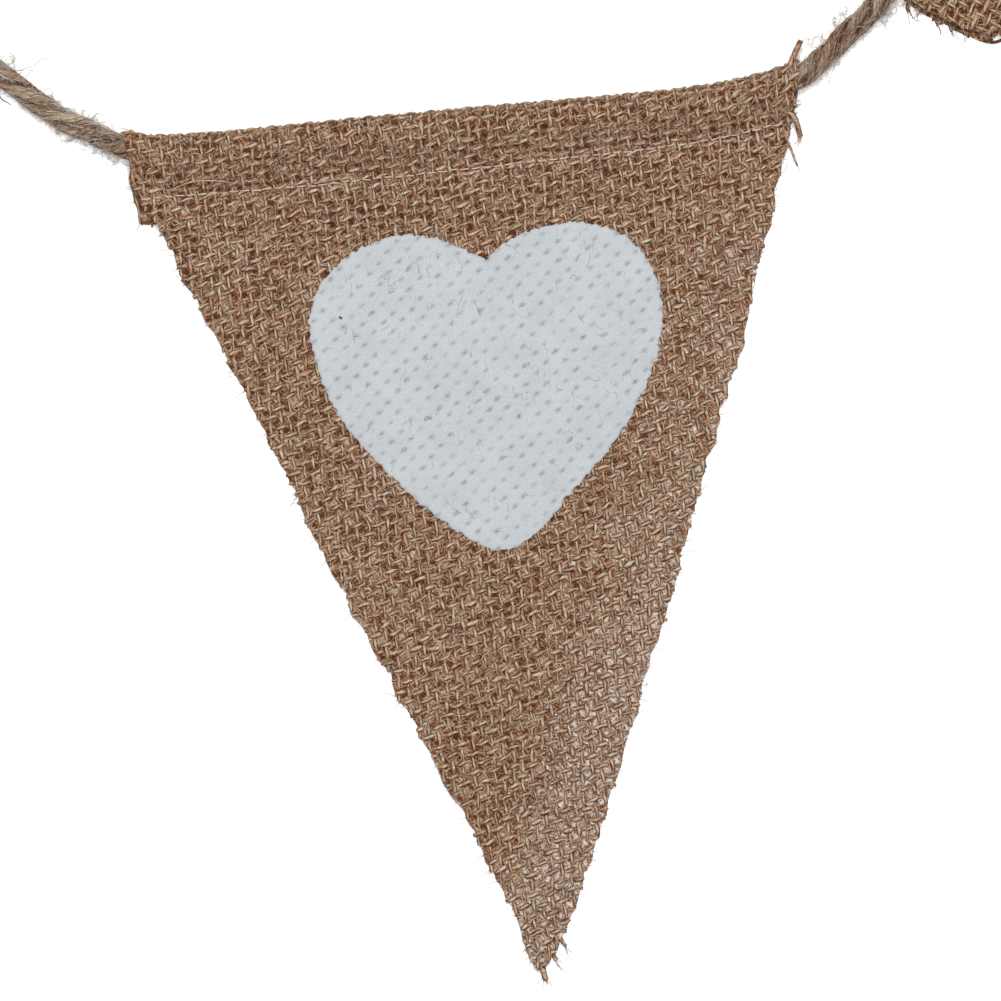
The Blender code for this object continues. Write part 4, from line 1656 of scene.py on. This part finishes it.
def painted_fibres(rng, cloth, outline, material, number):
    """Fibres caught under the paint, which show as fine curved ridges."""
    batch = Batch()
    while number:
        across, down = rng.uniform(33.0, 116.0), rng.uniform(27.0, 102.0)
        if depth_in(outline, np.array([across]), np.array([down]))[0] < 2.0:
            continue
        number -= 1
        length = 0.9 + rng.gamma(1.5, 0.9)
        upright = rng.uniform() < 0.3
        turn = np.pi / 2 + rng.normal(0.0, 0.12) if upright else rng.uniform(0.0, np.pi)
        curl = rng.normal(0.0, 0.05 if upright else 0.6)
        at = np.linspace(-0.5, 0.5, 6) * length
        way = cloth.way_of(down)
        a = across + at * np.cos(turn) - curl * at**2 * np.sin(turn)
        w = way + at * np.sin(turn) + curl * at**2 * np.cos(turn)
        points, normals = cloth.place(a, w, PAINT_OVER - 0.06)
        wide = rng.uniform(0.14, 0.26) * (0.5 + 0.5 * np.cos(at / length * 2.6))
        high = rng.uniform(0.08, 0.12)
        batch.tube(points, normals, wide, high, 4, rng.uniform(-0.05, 0.10), 0.0)
    return batch.finish("painted_fibres", material)


def stitched(batch, rng, cloth, line, way_at, over):
    """A row of machine stitches along a line of (across, down), each dipping at its ends."""
    line = np.array(line)
    begin = line[0, 0]
    while begin < line[-1, 0] - STITCH_LENGTH:
        end = begin + STITCH_LENGTH * rng.uniform(0.93, 1.05)
        share = np.linspace(0.0, 1.0, 8)
        across = begin + 0.12 + (end - begin - 0.30) * share
        down = np.interp(across, line[:, 0], line[:, 1]) + 0.16 * rng.normal() * (share - 0.5)
        down = down + rng.normal(0.0, 0.10)
        sunk = max(rng.normal(0.06, 0.14), -0.05)
        off = over - sunk - 0.55 * (1.0 - np.sin(np.pi * share) ** 0.5)
        points, normals = cloth.place(across, way_at(down), off)
        batch.tube(points, normals, STITCH_WIDE, STITCH_HIGH, 5, rng.normal(), begin)
        begin = end


def sewn(rng, cloth, name, row, over, material):
    """A pennant's seam, on the front and on the folded strip behind it."""
    sewing = Batch()
    stitched(sewing, rng, cloth, row, cloth.way_of, over)
    stitched(sewing, rng, cloth, row, cloth.way_back, 0.50)
    return sewing.finish(name, material)


def loose_thread(batch, cloth, pixels, offs, half_width, tone, seed):
    """A thread that has come up from the cloth in a low loop."""
    path = resample(on_front(cloth, pixels, offs), 0.5)
    batch.tube(path, (0.1, 0.1, 1.0), half_width, half_width, 6, tone, seed)


def frayed_end(batch, hairs, rng, pixels, heights, half_width, tone, splay):
    """A yarn that has come out of the cloth, opening into single fibres at its end."""
    path = resample(photo_path(pixels, heights), 0.5)
    share = along(path) / along(path)[-1]
    wide = half_width * (1.0 - 0.12 * share)
    batch.tube(path, (0.1, 0.1, 1.0), wide, wide * 0.7, 7, tone, rng.uniform(0.0, 100.0))
    ahead = unit(path[-1] - path[-2])
    steps = np.linspace(0.0, 1.0, 6)[:, None]
    for _ in range(splay):
        start = path[rng.integers(len(path) // 2, len(path))]
        spread = unit(ahead + rng.normal(0.0, 0.30, 3) * (1.0, 1.0, 0.4))
        length = rng.uniform(0.8, 3.0)
        bend = rng.normal(0.0, 0.25, 3) * length
        line = start + rng.normal(0.0, 0.15, 3) + steps * spread * length + steps**2 * bend
        line[:, 2] = np.maximum(line[:, 2], 0.15)
        hair = rng.uniform(0.05, 0.11) * (1.0 - 0.5 * steps[:, 0])
        hairs.fibre(line, hair, 4, rng.normal(), length)


def edge_hairs(hairs, rng, cloth, number):
    """Short fibres that stick out of the cut edges."""
    steps = np.linspace(0.0, 1.0, 5)[:, None]
    for _ in range(number):
        way = rng.uniform(cloth.flap_end, cloth.tip - 1.0)
        left, right = cloth.edges(np.array(way))
        if rng.uniform() < 0.5:
            across, outward = float(left), -1.0
        else:
            across, outward = float(right), 1.0
        off = rng.uniform(-0.3, 0.5)
        start, _ = cloth.place(across - 0.4 * outward, way, off)
        ahead = cloth.turned(outward, rng.normal(0.0, 0.7), rng.normal(0.05, 0.15))
        length = 0.9 + rng.gamma(1.4, 0.7)
        bend = rng.normal(0.0, 0.3, 3) * length
        line = start + steps * unit(ahead) * length + steps**2 * bend
        line[:, 2] = np.maximum(line[:, 2], 0.12)
        wide = rng.uniform(0.045, 0.085) * (1.0 - 0.5 * steps[:, 0])
        hairs.fibre(line, wide, 3, rng.normal() - 0.5, way)


def surface_fibres(hairs, rng, cloth, number, bare):
    """Fine fibres that lie loosely on the front, except where bare is true."""
    made = 0
    while made < number:
        way = rng.uniform(1.0, cloth.tip - 4.0)
        left, right = cloth.edges(np.array(way))
        across = rng.uniform(-2.0, 150.0)
        if not left + 1.0 < across < right - 1.0 or bare(np.array(across), np.array(way)):
            continue
        made += 1
        length = rng.uniform(1.1, 2.8)
        turn = rng.choice((-0.42, 1.25)) + rng.normal(0.0, 0.45)
        curl = rng.choice((-1.0, 1.0)) * rng.uniform(0.1, 1.3)
        share = np.linspace(0.0, 1.0, 5)
        at = (share - 0.5) * length
        a = across + at * np.cos(turn) - curl * at**2 / length * np.sin(turn)
        w = way + at * np.sin(turn) + curl * at**2 / length * np.cos(turn)
        off = rng.uniform(0.25, 0.70) + (0.10 + 0.25 * rng.uniform()) * np.sin(np.pi * share)
        points, normals = cloth.place(a, w, off)
        wide = rng.uniform(0.07, 0.13) * (0.4 + 0.6 * np.sin(0.2 + 2.74 * share))
        hairs.tube(points, normals, wide, wide * 0.7, 3, 2.0 * rng.normal(), way)


def loose_parts(rng, cloth, names, tables, counts, bare, material):
    """A pennant's loops and frayed yarns as one piece, and its loose fibres as another."""
    loops, frays, specks = tables
    yarns = Batch()
    hairs = Batch()
    for loop in loops:
        loose_thread(yarns, cloth, *loop)
    for fray in frays:
        frayed_end(yarns, hairs, rng, *fray)
    edge_hairs(hairs, rng, cloth, counts[0])
    surface_fibres(hairs, rng, cloth, counts[1], bare)
    for pixels, half_width, tone in specks:
        line = on_front(cloth, pixels, np.full(len(pixels), PAINT_OVER + 0.06))
        hairs.fibre(line, half_width, 4, tone, 0.0)
    return [yarns.finish(names[0], yarn_material()), hairs.finish(names[1], material)]


# The making: camera, cords and stage come first
camera()
strand = strand_material()
hair = plain_material("jute_hair", ((0.110, 0.042, 0.020), (0.560, 0.410, 0.290)), 0.7)
fuzz_hair = plain_material(
    "twine_hair", ((0.130, 0.062, 0.034), (0.430, 0.335, 0.245), (0.480, 0.470, 0.450)), 0.7
)
thread = plain_material("sewing_thread", ((0.430, 0.320, 0.260), (0.600, 0.490, 0.420)), 0.55)
heart_cloth = Cloth(
    HEART_CORNER,
    HEART_TURN,
    HEART_FRONT,
    HEART_FLAP,
    HEART_TWINE,
    HEART_LIFTS,
    11,
    HEART_TRIM,
)
plain_cloth = Cloth(
    PLAIN_CORNER, PLAIN_TURN, PLAIN_FRONT, PLAIN_FLAP, PLAIN_TWINE, PLAIN_LIFTS, 23
)
twine(heart_cloth, plain_cloth, strand, fuzz_hair, thread)
stage()

outline = smooth_curve(HEART_OUTLINE, 8)


def under_paint(across, way):
    return smoothstep(depth_in(outline, across, heart_cloth.down_at(way)), -0.6, 0.8)


def openness(across, way):
    """How open the weave is, from about 0 by the casing to 1 along the lower right edge."""
    inside = heart_cloth.edges(way)[1] - across
    by_edge = 1.0 - smoothstep(inside, 4.0, 27.0)
    lower = 0.28 + 0.72 * smoothstep(way, 70.0, 142.0)
    return np.clip(0.10 + 0.90 * by_edge * lower, 0.0, 1.0) * smoothstep(way, 22.0, 44.0)


heart_weave = weave(
    heart_cloth,
    "heart_pennant",
    4,
    0.46,
    lambda a, w: 1.0 - 0.25 * under_paint(a, w),
    lambda a, w: 0.06 * openness(a, w),
    lambda a, w: (under_paint(a, w) > 0.99) & (w > 0.0),
)
plain_weave = weave(
    plain_cloth,
    "plain_pennant",
    4,
    0.88,
    lambda a, w: 1.0 + 0.0 * a,
    lambda a, w: 0.06 * openness(a, w),
    lambda a, w: np.zeros(a.shape, bool),
)
fluff = down_material()
heart_weave.insert(0, down(heart_cloth, "heart_pennant_down", fluff, openness))
plain_weave.insert(0, down(plain_cloth, "plain_pennant_down", fluff, openness))
paint = paint_material()
heart = painted_heart(heart_cloth, outline, paint)
ridges = painted_fibres(np.random.default_rng(9), heart_cloth, outline, paint, 400)

rng = np.random.default_rng(77)
heart_sewing = sewn(rng, heart_cloth, "heart_stitches", HEART_STITCHES, 1.0, thread)
plain_sewing = sewn(rng, plain_cloth, "plain_stitches", PLAIN_STITCHES, 0.92, thread)
heart_loose = loose_parts(
    rng,
    heart_cloth,
    ("heart_frays", "heart_fibres"),
    (LOOPS, HEART_FRAYS, BARE_FIBRES),
    (330, 6100),
    lambda a, w: under_paint(a, w) > 0.2,
    hair,
)
plain_loose = loose_parts(
    rng,
    plain_cloth,
    ("plain_corner_frays", "plain_fibres"),
    ((), PLAIN_SHADED_FRAYS, ()),
    (380, 1500),
    lambda a, w: False,
    hair,
)

for pieces, node, slot, cloth, others in (
    (heart_weave, "pennant_heart", "hessian_painted", heart_cloth, [heart, ridges, heart_sewing]),
    (plain_weave, "pennant_plain", "hessian", plain_cloth, [plain_sewing]),
):
    for piece in pieces:
        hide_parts(node)
    width, length, area = cloth.flat()
    print("flat", node, round(width, 4), round(length, 4), round(area, 6))
